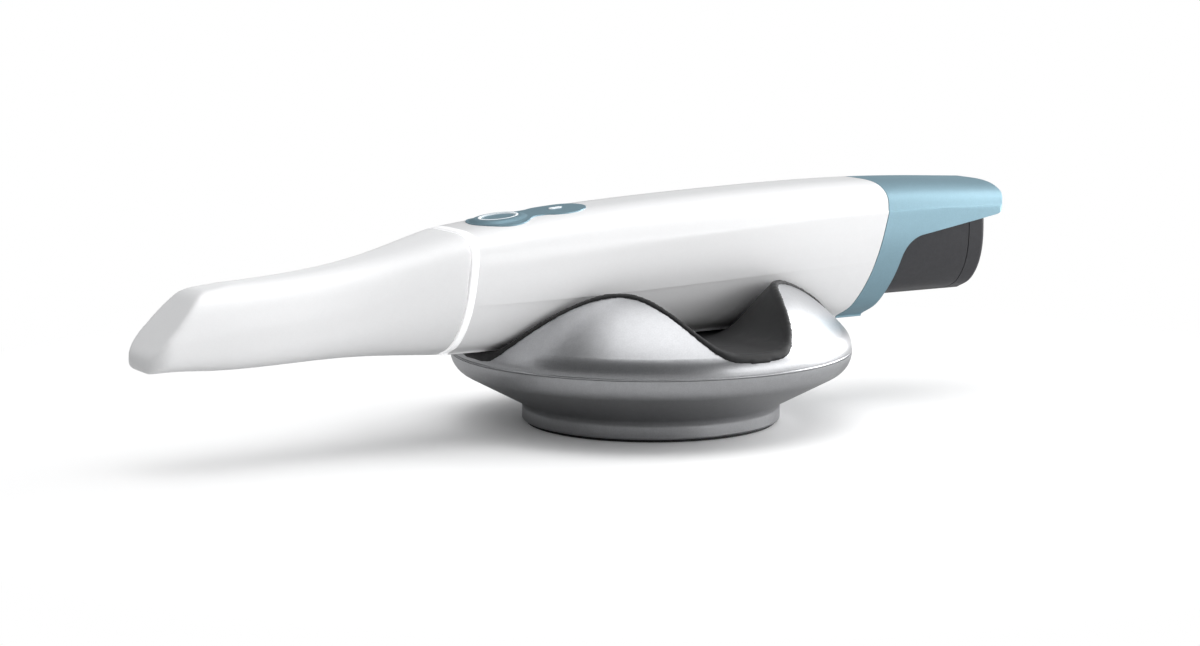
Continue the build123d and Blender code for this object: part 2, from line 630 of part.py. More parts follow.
def make_stand_upper_shell():
    outside = dome_form() - above_cradle(-LINER_THICKNESS)
    inside = dome_form(STAND_WALL, SKIRT_BOTTOM - 1, SKIRT_RADIUS - STAND_WALL)
    inside -= above_cradle(-LINER_THICKNESS - STAND_WALL)
    shell = outside - inside
    for x, y in stand_screw_places():
        boss = post(x, y, STAND_FLOOR_TOP, 50, BOSS_RADIUS)
        boss -= above_cradle(-LINER_THICKNESS - STAND_WALL / 2)
        boss -= post(x, y, 0, PAD_THICKNESS + STAND_SCREW_LENGTH + SCREW_TIP_ROOM,
                     STAND_SCREW_RADIUS + FIT)
        shell += boss
    return shell


def make_cradle_liner():
    proud = dome_form(-LINER_STANDOUT) - above_cradle(0)
    return proud & above_cradle(-LINER_THICKNESS)


def make_foot_pad():
    return post(0, 0, 0, PAD_THICKNESS, PAD_RADIUS)


def make_ballast():
    bottom = STAND_FLOOR_TOP
    ring = post(0, 0, bottom, bottom + BALLAST_HEIGHT, BALLAST_RADIUS)
    return ring - post(0, 0, 0, 50, BALLAST_BORE)


def make_stand_screws():
    screws = []
    seat = PAD_THICKNESS + STAND_SCREW_HEAD_HEIGHT
    for x, y in stand_screw_places():
        screws.append(screw(x, y, seat, STAND_SCREW_LENGTH - STAND_SCREW_HEAD_HEIGHT, False,
                            STAND_SCREW_RADIUS, STAND_SCREW_HEAD,
                            STAND_SCREW_HEAD_HEIGHT))
    return screws


# ---- scanner: housings, ring, cover -----------------------------------------------------
def pad_prism(grow=0.0):
    """Upright prism of the control pad's outline: two lobes joined by a waist."""
    front = Pos(BUTTON_X, 0) * Ellipse(PAD_FRONT_LENGTH + grow, PAD_FRONT_WIDTH + grow)
    rear = Pos(PAD_REAR_X, 0) * Circle(PAD_REAR_RADIUS + grow)
    length = PAD_REAR_X - BUTTON_X
    waist = Pos(BUTTON_X + length / 2, 0) * Rectangle(length, 2 * (PAD_WAIST + grow))
    outline = front + rear + waist
    corners = [v for v in outline.vertices() if abs(abs(v.Y) - PAD_WAIST - grow) < 0.01]
    outline = fillet(corners, PAD_WAIST_ROUNDING - grow)
    return Pos(0, 0, AXIS_HEIGHT + 10) * extrude(outline, 30)


def button_board_places():
    """Places of the four posts that carry the button board."""
    front = BUTTON_BOARD_FRONT_X + BUTTON_POST_RADIUS
    rear = BUTTON_BOARD_REAR_X - BUTTON_POST_RADIUS
    return [(x, y) for x in (front, rear) for y in (-BUTTON_POST_Y, BUTTON_POST_Y)]


def indicator_prism(grow=0.0):
    """Upright prism of the indicator's rounded bar."""
    bar = SlotOverall(INDICATOR_LENGTH + 2 * grow, INDICATOR_WIDTH + 2 * grow)
    return Pos(PAD_REAR_X, 0, AXIS_HEIGHT + 10) * extrude(bar, 30)


def make_upper_housing():
    shell = handle_form() & between_seams(0, -SEAM_GAP) & parting_block(above=True)
    shell -= handle_form(HOUSING_WALL)
    shell -= pad_prism(FIT) - handle_form(PAD_DEPTH)
    shell -= post(BUTTON_X, 0, BUTTON_BOARD_TOP, HIGH, RING_OUTSIDE + FIT)
    shell -= indicator_prism(FIT)
    for x, y in button_board_places():
        pillar = post(x, y, BUTTON_BOARD_TOP, HIGH, BUTTON_POST_RADIUS)
        shell += pillar & handle_form(HOUSING_WALL - ROOTING)
    for y in (-COVER_BOSS_Y, COVER_BOSS_Y):
        front = REAR_SEAM_X - COVER_BOSS_REACH
        rear = rear_plane_x(COVER_BOSS_HEIGHT, COVER_BAND - COVER_WALL) - COVER_SEAT_DEPTH
        boss = rod(front, rear, y, COVER_BOSS_HEIGHT, COVER_BOSS_RADIUS)
        web = block(front, REAR_SEAM_X - 2, y - 0.8, y + 0.8, COVER_BOSS_HEIGHT, HIGH)
        shell += boss + (web & handle_form(HOUSING_WALL - ROOTING))
        shell -= rod(front + 2, rear + 1, y, COVER_BOSS_HEIGHT, SCREW_RADIUS + FIT)
    return shell


def make_lower_housing():
    shell = belly_form() & between_seams(0, -SEAM_GAP) & parting_block(above=False)
    shell -= belly_form(HOUSING_WALL)
    for x in SHELL_SCREW_X:
        carrier = post(x, 0, -1, BENCH_HEIGHT, SHELL_POST_RADIUS)
        shell += carrier & belly_form(HOUSING_WALL - ROOTING)
        shell -= post(x, 0, BENCH_HEIGHT - SHELL_HOLE_DEPTH, BENCH_HEIGHT, SCREW_RADIUS + FIT)
    return shell


def make_nose_ring():
    ring = handle_form() & between_seams(-RING_WIDTH, 0, rear=front_plane_x)
    tongue = belly_form(TONGUE_OUTER)
    tongue &= between_seams(-0.5, TONGUE_LENGTH, rear=front_plane_x)
    return ring + tongue - belly_form(TONGUE_INNER)


def visor_side():
    """The blue cover seen from the side: leaning band, and the visor over the battery."""
    end = VISOR_END_X
    edge_x = rear_plane_x(VISOR_EDGE_HEIGHT, COVER_BAND)
    end_height = VISOR_EDGE_HEIGHT + VISOR_EDGE_SLOPE * (end - edge_x)
    corners = [
        (rear_plane_x(LOW), LOW), (rear_plane_x(LOW, COVER_BAND), LOW),
        (edge_x, VISOR_EDGE_HEIGHT), (end, end_height), (end, HIGH), (rear_plane_x(HIGH), HIGH)]
    return side_outline(corners, {2: VISOR_NOTCH_ROUNDING, 3: VISOR_TAIL_ROUNDING})


def side_outline(corners, rounding):
    """Prism across Y of an outline in X and height, with some corners rounded."""
    outline = make_face(Polyline(*corners, close=True))
    for index, radius in rounding.items():
        x, z = corners[index]
        corner = outline.vertices().sort_by_distance((x, z, 0))[0]
        outline = fillet(corner, radius)
    return extrude(Plane.XZ * outline, 40, both=True)


def visor_plan(inset=0.0):
    """The blue cover seen from above: straight sides and a round end."""
    half_width = HANDLE_STATIONS[-2].half_width - inset + VISOR_PLAN_SPARE
    length = 200.0
    outline = fillet(Rectangle(length, 2 * half_width).vertices(),
                     VISOR_END_ROUNDING - inset / 2)
    outline = Pos(VISOR_END_X - inset - length / 2, 0) * outline
    wide = Pos(VISOR_END_X - VISOR_LENGTH - 25, 0) * Rectangle(90, 60)
    return Pos(0, 0, LOW) * extrude(outline + wide, HIGH - LOW)


def battery_form(front, rear, inset=0.0):
    """The battery's section drawn out along X, grown where the inset is negative."""
    face = Face(section(BATTERY_STATION, inset))
    return Pos(front, 0, 0) * extrude(face, rear - front, dir=(1, 0, 0))


def between_rear_planes(front_offset, rear_offset):
    return between_seams(front_offset, rear_offset, front=rear_plane_x)


def make_rear_cover():
    outside = handle_form() & visor_side() & visor_plan()
    inside = handle_form(COVER_WALL) & visor_plan(COVER_WALL)
    shell = outside - inside
    shell -= battery_form(REAR_SEAM_X + 5, VISOR_END_X + 5, -RUN)
    bezel = handle_form(COVER_WALL - ROOTING)
    bezel &= between_rear_planes(COVER_BAND - COVER_WALL, COVER_BAND - 0.4)
    shell += bezel - battery_form(REAR_SEAM_X, VISOR_END_X, -RUN)
    tongue = belly_form(TONGUE_OUTER) - belly_form(TONGUE_INNER)
    tongue &= between_rear_planes(-TONGUE_LENGTH, 0.5)
    joint = handle_form(COVER_WALL - ROOTING) - handle_form(TONGUE_INNER)
    joint &= between_rear_planes(0, 2)
    bay_room = battery_form(REAR_SEAM_X - 20, REAR_SEAM_X + 20, -RUN - BAY_WALL - FIT)
    shell += tongue + joint - bay_room
    for y in (-COVER_BOSS_Y, COVER_BOSS_Y):
        shell -= rod(REAR_SEAM_X, REAR_SEAM_X + 20, y, COVER_BOSS_HEIGHT, SCREW_RADIUS + FIT)
        seat = rear_plane_x(COVER_BOSS_HEIGHT, COVER_BAND) - COVER_SEAT_DEPTH
        shell -= rod(seat, seat + 4, y, COVER_BOSS_HEIGHT, SCREW_HEAD_RADIUS + FIT)
        shell -= rod(REAR_SEAM_X - 4, seat - 1.5, y, COVER_BOSS_HEIGHT,
                     COVER_BOSS_RADIUS + FIT)
    return shell


def make_cover_screws():
    seat = rear_plane_x(COVER_BOSS_HEIGHT, COVER_BAND) - COVER_SEAT_DEPTH
    return [screw_along_x(seat, y, COVER_BOSS_HEIGHT, COVER_SCREW_LENGTH)
            for y in (-COVER_BOSS_Y, COVER_BOSS_Y)]


# ---- scanner: control pad ---------------------------------------------------------------
def button_mound():
    """Soft round rise under the button, square to the housing's crown there."""
    front, rear = HANDLE_STATIONS[1], HANDLE_STATIONS[2]
    slope = (rear.crown - front.crown) / (rear.x - front.x)
    crown = front.crown + slope * (BUTTON_X - front.x)
    middle = (MOUND_FOOT + MOUND_TOP) / 2
    side = Spline((MOUND_FOOT, 0), (middle, MOUND_HEIGHT / 2), (MOUND_TOP, MOUND_HEIGHT),
                  tangents=((-1, 0), (-1, 0)))
    mound = turned(
        Line((0, -PAD_DEPTH), (MOUND_FOOT, -PAD_DEPTH)),
        Line((MOUND_FOOT, -PAD_DEPTH), (MOUND_FOOT, 0)), side,
        Line((MOUND_TOP, MOUND_HEIGHT), (0, MOUND_HEIGHT)),
        Line((0, MOUND_HEIGHT), (0, -PAD_DEPTH)))
    return Pos(BUTTON_X, 0, crown) * Rot(0, -degrees(atan(slope)), 0) * mound


def make_control_pad():
    pad = pad_prism() & handle_form(-PAD_PROUD)
    pad += button_mound() & pad_prism()
    pad -= handle_form(PAD_DEPTH - PAD_SEAT_GAP)
    pad -= post(BUTTON_X, 0, BUTTON_BOARD_TOP, HIGH, RING_OUTSIDE + FIT)
    return pad - indicator_prism(FIT)


def make_button_light_ring():
    tube = post(BUTTON_X, 0, BUTTON_BOARD_TOP, HIGH, RING_OUTSIDE)
    tube -= post(BUTTON_X, 0, 0, HIGH, RING_BORE)
    return tube & handle_form(-RING_PROUD)


def make_scan_button():
    stem_end = BUTTON_BOARD_TOP + SWITCH_HEIGHT + BUTTON_TRAVEL + FIT
    cap = post(BUTTON_X, 0, stem_end + BUTTON_HEAD, HIGH, BUTTON_RADIUS)
    cap &= handle_form(-BUTTON_PROUD)
    return cap + post(BUTTON_X, 0, stem_end, stem_end + BUTTON_HEAD, BUTTON_STEM_RADIUS)


def make_indicator_light():
    bar = indicator_prism() & handle_form(-INDICATOR_PROUD)
    return bar - handle_form(HOUSING_WALL + 1)


def make_button_board():
    return block(BUTTON_BOARD_FRONT_X, BUTTON_BOARD_REAR_X,
                 -BUTTON_BOARD_HALF_WIDTH, BUTTON_BOARD_HALF_WIDTH,
                 BUTTON_BOARD_TOP - BOARD_THICKNESS, BUTTON_BOARD_TOP)


def make_key_switch():
    half = SWITCH_HALF_SIZE
    top = BUTTON_BOARD_TOP + SWITCH_HEIGHT
    base = block(BUTTON_X - half, BUTTON_X + half, -half, half,
                 BUTTON_BOARD_TOP, top - SWITCH_KEY_HEIGHT)
    return base + post(BUTTON_X, 0, BUTTON_BOARD_TOP, top, SWITCH_KEY_RADIUS)


# ---- scanner: nose and tip --------------------------------------------------------------
def nose_band(front, rear, outer, inner):
    """Ring of the nose's section between two insets."""
    ring = tip_form(outer) & block(front, rear, -40, 40, LOW, HIGH)
    return ring - tip_form(inner)


def spring_band(grow):
    """Two strips let into the nose's sides."""
    reach = block(SPRING_FRONT_X - grow, SPRING_FRONT_X + SPRING_LENGTH + grow,
                  5, 30, SPRING_LOW - grow, SPRING_HIGH + grow)
    return mirrored(reach)


def nose_form():
    """The nose's outside, drafted towards its front so that the tip slides over it."""
    wires = []
    for station in TIP_STATIONS:
        share = (SEAL_X - station.x) / (SEAL_X - NOSE_TIP_X)
        draft = NOSE_DRAFT * min(1.0, max(0.0, share))
        wires.append(section(station, NOSE_INSET + draft))
    return Solid.make_loft(wires)


def make_nose_barrel():
    front = nose_form() & between_seams(
        0, -RING_WIDTH - FIT, front=lambda height, offset: NOSE_TIP_X, rear=front_plane_x)
    middle = belly_form(TONGUE_INNER + FIT)
    middle &= block(FRONT_SEAM_X - NOSE_COLLAR_LENGTH, FLANGE_REAR_X, -40, 40, LOW, HIGH)
    middle &= between_seams(-RING_WIDTH - 1, 30, rear=front_plane_x)
    flange = belly_form(HOUSING_WALL + FIT)
    flange &= block(FLANGE_REAR_X - FLANGE_THICKNESS, FLANGE_REAR_X, -40, 40, LOW, HIGH)
    barrel = front + middle + flange
    barrel -= rod(NOSE_TIP_X - 1, FLANGE_REAR_X + 1, 0, AXIS_HEIGHT, NOSE_BORE)
    barrel -= rod(NOSE_TIP_X - 1, NOSE_TIP_X + WINDOW_THICKNESS, 0, AXIS_HEIGHT,
                  NOSE_BORE + WINDOW_LEDGE)
    barrel -= tip_form(NOSE_INSET + NOSE_WALL) & block(NOSE_LENS_X + 5, -72, -40, 40, LOW, HIGH)
    barrel -= nose_band(SEAL_X - FIT, SEAL_X + SEAL_WIDTH + FIT, -1,
                        NOSE_INSET + SEAL_DEPTH + GROOVE_SPARE)
    barrel -= spring_band(FIT) - tip_form(NOSE_INSET + SPRING_DEPTH + GROOVE_SPARE)
    for y in (-FLANGE_SCREW_Y, FLANGE_SCREW_Y):
        barrel -= rod(FLANGE_REAR_X - 4.5, FLANGE_REAR_X + 1, y, FLANGE_SCREW_HEIGHT,
                      SCREW_RADIUS + FIT)
    return barrel


def make_nose_window():
    return rod(NOSE_TIP_X, NOSE_TIP_X + WINDOW_THICKNESS, 0, AXIS_HEIGHT,
               NOSE_BORE + WINDOW_LEDGE - FIT)


def make_nose_seal():
    return nose_band(SEAL_X, SEAL_X + SEAL_WIDTH, TIP_WALL + RUN, NOSE_INSET + SEAL_DEPTH)


def make_tip_springs():
    strips = spring_band(0) & tip_form(TIP_WALL + RUN)
    return (strips - tip_form(NOSE_INSET + SPRING_DEPTH)).solids()


def tip_end_side(inset=0.0):
    """The tip seen from the side: flat end and the sloped face behind the mirror."""
    lean = tan(radians(SLOPE_ANGLE))
    shift = inset / sin(radians(SLOPE_ANGLE))
    end = TIP_END_X + inset
    top_x = SLOPE_TOP_X + shift

    def slope_z(x):
        return SLOPE_TOP_HEIGHT - (top_x - x) * lean

    land = TIP_LAND_HEIGHT - inset
    keel = TIP_STATIONS[0].keel + inset
    top_corner = top_x + (land - SLOPE_TOP_HEIGHT) / lean
    corners = [(end, keel), (end, slope_z(end)), (top_corner, land),
               (top_corner + TIP_LAND_LENGTH, land + TIP_LAND_RISE), (-60, HIGH), (-40, HIGH),
               (-40, LOW), (-60, LOW), (top_corner + 10, keel - 0.3)]
    if inset:
        return side_outline(corners, {0: TIP_BORE_ROUNDING})
    return side_outline(
        corners, {0: TIP_KEEL_ROUNDING, 1: TIP_CHIN_ROUNDING, 2: TIP_CROWN_ROUNDING})


def tip_end_plan(inset=0.0):
    """The tip seen from above: rounded end corners."""
    half_end = TIP_END_HALF_WIDTH - inset
    half_wide = half_end + TIP_END_SPREAD
    end = TIP_END_X + inset
    corners = [(end, -half_end), (end, half_end), (-120, half_wide), (-100, 30),
               (-40, 30), (-40, -30), (-100, -30), (-120, -half_wide)]
    outline = make_face(Polyline(*corners, close=True))
    for index in (0, 1):
        corner = outline.vertices().sort_by_distance((*corners[index], 0))[0]
        outline = fillet(corner, TIP_END_ROUNDING - inset)
    return Pos(0, 0, LOW) * extrude(outline, HIGH - LOW)


def make_tip_sleeve():
    outside = tip_form() & tip_end_side() & tip_end_plan()
    outside &= between_seams(0, -RING_WIDTH - RUN,
                             front=lambda height, offset: TIP_END_X - 5, rear=front_plane_x)
    inside = tip_form(TIP_WALL) & tip_end_side(TIP_WALL) & tip_end_plan(TIP_WALL)
    centre = mirror_place().origin.X
    window = block(centre - SCAN_WINDOW_LENGTH / 2, centre + SCAN_WINDOW_LENGTH / 2,
                   -SCAN_WINDOW_WIDTH / 2, SCAN_WINDOW_WIDTH / 2, -5, 7)
    window = fillet(window.edges().filter_by(Axis.Z), SCAN_WINDOW_ROUNDING)
    return outside - inside - window


def mirror_place():
    """Frame of the mirror: its back lies on the inside of the sloped face."""
    slope = radians(SLOPE_ANGLE)
    shift = TIP_WALL / sin(slope) + FIT
    height = AXIS_HEIGHT + MIRROR_RAISE
    x = SLOPE_TOP_X + shift - (SLOPE_TOP_HEIGHT - height) / tan(slope)
    return Plane(origin=(x, 0, height), x_dir=(cos(slope), 0, sin(slope)),
                 z_dir=(sin(slope), 0, -cos(slope)))


def make_tip_mirror():
    plate = Box(MIRROR_LENGTH, MIRROR_WIDTH, MIRROR_THICKNESS)
    return mirror_place() * Pos(0, 0, MIRROR_THICKNESS / 2) * plate


def make_mirror_frame():
    height = MIRROR_THICKNESS + MIRROR_FRAME_LIP
    frame = Box(MIRROR_LENGTH + 2 * MIRROR_FRAME, MIRROR_WIDTH + 2 * MIRROR_FRAME, height)
    frame -= Box(MIRROR_LENGTH + FIT, MIRROR_WIDTH + FIT, height + 1)
    return mirror_place() * Pos(0, 0, height / 2) * frame


# ---- scanner: optics --------------------------------------------------------------------
def standoff_places():
    """Places of the main board's four standoffs."""
    return [(x, y) for x in (MAIN_BOARD_FRONT_X + STANDOFF_SETBACK,
                               MAIN_BOARD_REAR_X - STANDOFF_SETBACK)
            for y in (-STANDOFF_Y, STANDOFF_Y)]


def make_chassis():
    inside = belly_form(HOUSING_WALL + RUN)
    plate = block(BENCH_FRONT_X, BENCH_REAR_X, -BENCH_HALF_WIDTH, BENCH_HALF_WIDTH,
                  BENCH_HEIGHT, BENCH_TOP)
    front = block(BENCH_FRONT_X, BENCH_FRONT_X + BULKHEAD_THICKNESS,
                  -BENCH_HALF_WIDTH, BENCH_HALF_WIDTH, BULKHEAD_FOOT, BENCH_TOP) & inside
    middle = block(BARREL_FRONT_X, BARREL_FRONT_X + BULKHEAD_THICKNESS,
                   -BENCH_HALF_WIDTH, BENCH_HALF_WIDTH, BULKHEAD_FOOT, BENCH_TOP) & inside
    cheeks = mirrored(block(SPLITTER_FRONT_X, SPLITTER_REAR_X, SPLITTER_SIZE / 2 + FIT,
                            SPLITTER_SIZE / 2 + 2, AXIS_HEIGHT - 4, BENCH_TOP))
    tab = block(SENSOR_BOARD_X + BOARD_THICKNESS, SENSOR_BOARD_X + BOARD_THICKNESS + 2,
                -8, 8, AXIS_HEIGHT - 5.5, BENCH_TOP)
    back = block(BENCH_REAR_X - 2, BENCH_REAR_X, -11, 11, AXIS_HEIGHT - 6, 31) & inside
    back -= block(BENCH_REAR_X - 3, BENCH_REAR_X + 1, -8.3, 8.3,
                  CONTACT_HEIGHT - 5.3, BENCH_HEIGHT)
    chassis = plate + front + middle + cheeks + tab + back
    chassis -= rod(BENCH_FRONT_X - 1, BENCH_FRONT_X + 3, 0, AXIS_HEIGHT, NOSE_BORE)
    chassis -= rod(BARREL_FRONT_X - 1, BARREL_FRONT_X + 3, 0, AXIS_HEIGHT,
                   BARREL_RADIUS + FIT)
    for y in (-ROD_OFFSET, ROD_OFFSET):
        chassis -= rod(BENCH_FRONT_X - 1, BARREL_FRONT_X + 3, y, AXIS_HEIGHT,
                       ROD_RADIUS + FIT)
    light_hole = SPLITTER_SIZE / 2 - 1
    chassis -= block(SPLITTER_X - light_hole, SPLITTER_X + light_hole,
                     -light_hole, light_hole, BENCH_HEIGHT - 1, BENCH_TOP + 1)
    chassis -= block(SENSOR_BOARD_X - RIBBON_THICKNESS - 0.4, SENSOR_BOARD_X + 0.1,
                     -RIBBON_WIDTH / 2 - 0.3, RIBBON_WIDTH / 2 + 0.3,
                     BENCH_HEIGHT - 1, BENCH_TOP + 1)
    for x, y in standoff_places():
        chassis += post(x, y, BENCH_TOP, BOARD_BOTTOM, STANDOFF_RADIUS)
        chassis -= post(x, y, BENCH_HEIGHT - 1, BOARD_BOTTOM, SCREW_RADIUS + FIT)
    for x in SHELL_SCREW_X:
        chassis -= post(x, 0, BENCH_HEIGHT - 1, BENCH_TOP + 1, SCREW_RADIUS + FIT)
    for y in (-FLANGE_SCREW_Y, FLANGE_SCREW_Y):
        chassis -= rod(BENCH_FRONT_X - 1, BENCH_FRONT_X + 3, y, FLANGE_SCREW_HEIGHT,
                       SCREW_RADIUS + FIT)
    for y in (-BAY_SCREW_Y, BAY_SCREW_Y):
        chassis -= rod(BENCH_REAR_X - 3, BENCH_REAR_X + 1, y, BAY_SCREW_HEIGHT,
                       SCREW_RADIUS + FIT)
    return chassis


def make_guide_rods():
    return [rod(BENCH_FRONT_X, BARREL_FRONT_X + BULKHEAD_THICKNESS, y, AXIS_HEIGHT,
                ROD_RADIUS) for y in (-ROD_OFFSET, ROD_OFFSET)]


def make_lens_carriage():
    front = CARRIAGE_X - CARRIAGE_LENGTH / 2
    rear = CARRIAGE_X + CARRIAGE_LENGTH / 2
    body = rod(front, rear, 0, AXIS_HEIGHT, CARRIAGE_RADIUS)
    body += mirrored(rod(front, rear, ROD_OFFSET, AXIS_HEIGHT, ROD_RADIUS + 1.2))
    body += mirrored(block(front, rear, CARRIAGE_RADIUS - 2, ROD_OFFSET,
                           AXIS_HEIGHT - 1.5, AXIS_HEIGHT + 1.5))
    top = BENCH_HEIGHT - MAGNET_THICKNESS - RUN - COIL_THICKNESS
    body += block(front, rear, -5, 5, AXIS_HEIGHT, top)
    body -= rod(front - 1, rear + 1, 0, AXIS_HEIGHT, LENS_RADIUS + FIT)
    for y in (-ROD_OFFSET, ROD_OFFSET):
        body -= rod(front - 1, rear + 1, y, AXIS_HEIGHT, ROD_RADIUS + CARRIAGE_BORE_GAP)
    return body


def make_focus_lens():
    return lens(CARRIAGE_X, LENS_RADIUS, 3.6)


def make_focus_coil():
    top = BENCH_HEIGHT - MAGNET_THICKNESS - RUN
    length, width = COIL_HALF_LENGTH, COIL_HALF_WIDTH
    coil = block(CARRIAGE_X - length, CARRIAGE_X + length, -width, width,
                 top - COIL_THICKNESS, top)
    length, width = length - COIL_WIRE, width - COIL_WIRE
    return coil - block(CARRIAGE_X - length, CARRIAGE_X + length, -width, width, 0, HIGH)


def make_focus_magnets():
    middles = (CARRIAGE_X - MAGNET_PITCH / 2, CARRIAGE_X + MAGNET_PITCH / 2)
    return [block(x - MAGNET_LENGTH / 2, x + MAGNET_LENGTH / 2,
                  -MAGNET_HALF_WIDTH, MAGNET_HALF_WIDTH,
                  BENCH_HEIGHT - MAGNET_THICKNESS, BENCH_HEIGHT)
            for x in middles]


def make_lens_barrel():
    tube = rod(BARREL_FRONT_X, BARREL_REAR_X, 0, AXIS_HEIGHT, BARREL_RADIUS)
    return tube - rod(BARREL_FRONT_X - 1, BARREL_REAR_X + 1, 0, AXIS_HEIGHT,
                      LENS_RADIUS + FIT)


def make_relay_lenses():
    return [lens(BARREL_FRONT_X + 4, LENS_RADIUS, 3.4), lens(BARREL_REAR_X - 4, LENS_RADIUS, 4)]


def make_nose_lens():
    return lens(NOSE_LENS_X, NOSE_BORE - FIT, 3.6)


def make_beam_splitter():
    size = SPLITTER_SIZE
    return Pos(SPLITTER_X, 0, AXIS_HEIGHT) * Box(size, size, size)


def make_image_sensor():
    half = SENSOR_SIZE / 2
    return block(SENSOR_BOARD_X - SENSOR_THICKNESS, SENSOR_BOARD_X, -half, half,
                 AXIS_HEIGHT - half, AXIS_HEIGHT + half)


def make_sensor_board():
    return block(SENSOR_BOARD_X, SENSOR_BOARD_X + BOARD_THICKNESS,
                 -SENSOR_BOARD_HALF_WIDTH, SENSOR_BOARD_HALF_WIDTH,
                 AXIS_HEIGHT - 6.3, BENCH_HEIGHT - 0.5)


def make_ribbon_cable():
    return block(SENSOR_BOARD_X - RIBBON_THICKNESS, SENSOR_BOARD_X, -RIBBON_WIDTH / 2,
                 RIBBON_WIDTH / 2, AXIS_HEIGHT + SENSOR_SIZE / 2 + 1, BOARD_BOTTOM)


# ---- scanner: light source --------------------------------------------------------------
def make_lamp_holder():
    half = LAMP_HOLDER_SIZE / 2
    holder = block(SPLITTER_X - half, SPLITTER_X + half, -half, half, BENCH_TOP, LAMP_TOP)
    holder -= post(SPLITTER_X, 0, BENCH_TOP - 1, LAMP_TOP, LAMP_BORE - LAMP_LEDGE)
    return holder - post(SPLITTER_X, 0, BENCH_TOP + LAMP_LEDGE_HEIGHT, LAMP_TOP + 1, LAMP_BORE)


def make_pattern_plate():
    bottom = BENCH_TOP + LAMP_LEDGE_HEIGHT
    return post(SPLITTER_X, 0, bottom, bottom + PATTERN_THICKNESS, LAMP_BORE - FIT)


def make_collimator_lens():
    upright = Rot(0, -90, 0) * lens(0, LAMP_BORE - FIT, 2.8, z=0)
    return Pos(SPLITTER_X, 0, BENCH_TOP + COLLIMATOR_HEIGHT) * upright


def make_light_board():
    half = LAMP_HOLDER_SIZE / 2
    board = block(SPLITTER_X - half, SPLITTER_X + half, -half, half,
                  LAMP_TOP, LAMP_TOP + LAMP_BOARD_THICKNESS)
    return board + block(SPLITTER_X - 1.5, SPLITTER_X + 1.5, -1.5, 1.5,
                         LAMP_TOP - 0.7, LAMP_TOP)


def make_heat_sink():
    half = LAMP_HOLDER_SIZE / 2
    front, rear = SPLITTER_X - half, SPLITTER_X + half
    bottom = LAMP_TOP + LAMP_BOARD_THICKNESS
    sink = block(front, rear, -half, half, bottom, bottom + SINK_BASE)
    for i in range(FIN_COUNT):
        y = -half + (2 * half - FIN_THICKNESS) * i / (FIN_COUNT - 1)
        sink += block(front, rear, y, y + FIN_THICKNESS, bottom, bottom + FIN_HEIGHT)
    return sink


# ---- scanner: electronics ---------------------------------------------------------------
def make_main_board():
    board = block(MAIN_BOARD_FRONT_X, MAIN_BOARD_REAR_X, -MAIN_BOARD_HALF_WIDTH,
                  MAIN_BOARD_HALF_WIDTH, BOARD_BOTTOM, BOARD_TOP)
    clear = LAMP_HOLDER_SIZE / 2 + 0.8
    board -= block(SPLITTER_X - clear, SPLITTER_X + clear, -clear, clear, 0, HIGH)
    for x, y in standoff_places():
        board -= post(x, y, 0, HIGH, SCREW_RADIUS + FIT)
    return board


def make_board_chips():
    chips = []
    for x, side, length, width, height in BOARD_CHIPS:
        for y in sorted({-side, side}):
            chips.append(block(x - length / 2, x + length / 2, y - width / 2, y + width / 2,
                               BOARD_TOP, BOARD_TOP + height))
    return chips


def make_board_screws():
    return [screw(x, y, BOARD_TOP, BOARD_THICKNESS + STANDOFF + BENCH_THICKNESS - 0.3)
            for x, y in standoff_places()]


def make_shell_screws():
    return [screw(x, 0, BENCH_TOP, SHELL_SCREW_LENGTH) for x in SHELL_SCREW_X]


def make_flange_screws():
    return [screw_along_x(BENCH_FRONT_X + BULKHEAD_THICKNESS, y, FLANGE_SCREW_HEIGHT,
                          FLANGE_SCREW_LENGTH)
            for y in (-FLANGE_SCREW_Y, FLANGE_SCREW_Y)]


def make_antenna_board():
    top = BATTERY_TOP + RUN + BAY_WALL + FIT
    front = BATTERY_FRONT_X + 2
    return block(front, front + ANTENNA_LENGTH, -ANTENNA_HALF_WIDTH, ANTENNA_HALF_WIDTH,
                 top, top + ANTENNA_THICKNESS)


# ---- scanner: battery and its bay -------------------------------------------------------
def contact_places():
    """Y of the contacts in their row."""
    middle = (CONTACT_COUNT - 1) / 2
    return [(i - middle) * CONTACT_PITCH for i in range(CONTACT_COUNT)]


def make_battery_bay():
    rear = REAR_SEAM_X + 40
    sleeve = battery_form(BAY_FRONT_X, rear, -RUN - BAY_WALL)
    sleeve &= between_seams(0, COVER_BAND - COVER_WALL - FIT,
                            front=lambda height, offset: 0.0, rear=rear_plane_x)
    sleeve -= battery_form(BAY_FRONT_X + BAY_FRONT_WALL, rear + 1, -RUN)
    for y in contact_places():
        sleeve -= rod(BAY_FRONT_X - 1, BATTERY_FRONT_X, y, CONTACT_HEIGHT,
                      CONTACT_PIN_RADIUS + FIT)
    for y in (-BAY_SCREW_Y, BAY_SCREW_Y):
        sleeve -= rod(BAY_FRONT_X - 1, BATTERY_FRONT_X, y, BAY_SCREW_HEIGHT,
                      SCREW_RADIUS + FIT)
    slot = LEAF_HALF_WIDTH + RUN
    return sleeve - block(LEAF_NUB_X[0] - RUN, LEAF_NUB_X[1] + RUN, -slot, slot,
                          0, BATTERY_BOTTOM + 2)


def make_bay_screws():
    return [screw_along_x(BENCH_REAR_X - 2, y, BAY_SCREW_HEIGHT, BAY_SCREW_LENGTH,
                          head_to_rear=False)
            for y in (-BAY_SCREW_Y, BAY_SCREW_Y)]


def make_contact_board():
    return block(BAY_FRONT_X - BOARD_THICKNESS, BAY_FRONT_X, -8, 8,
                 CONTACT_HEIGHT - CONTACT_BOARD_REACH, CONTACT_HEIGHT + CONTACT_BOARD_REACH)


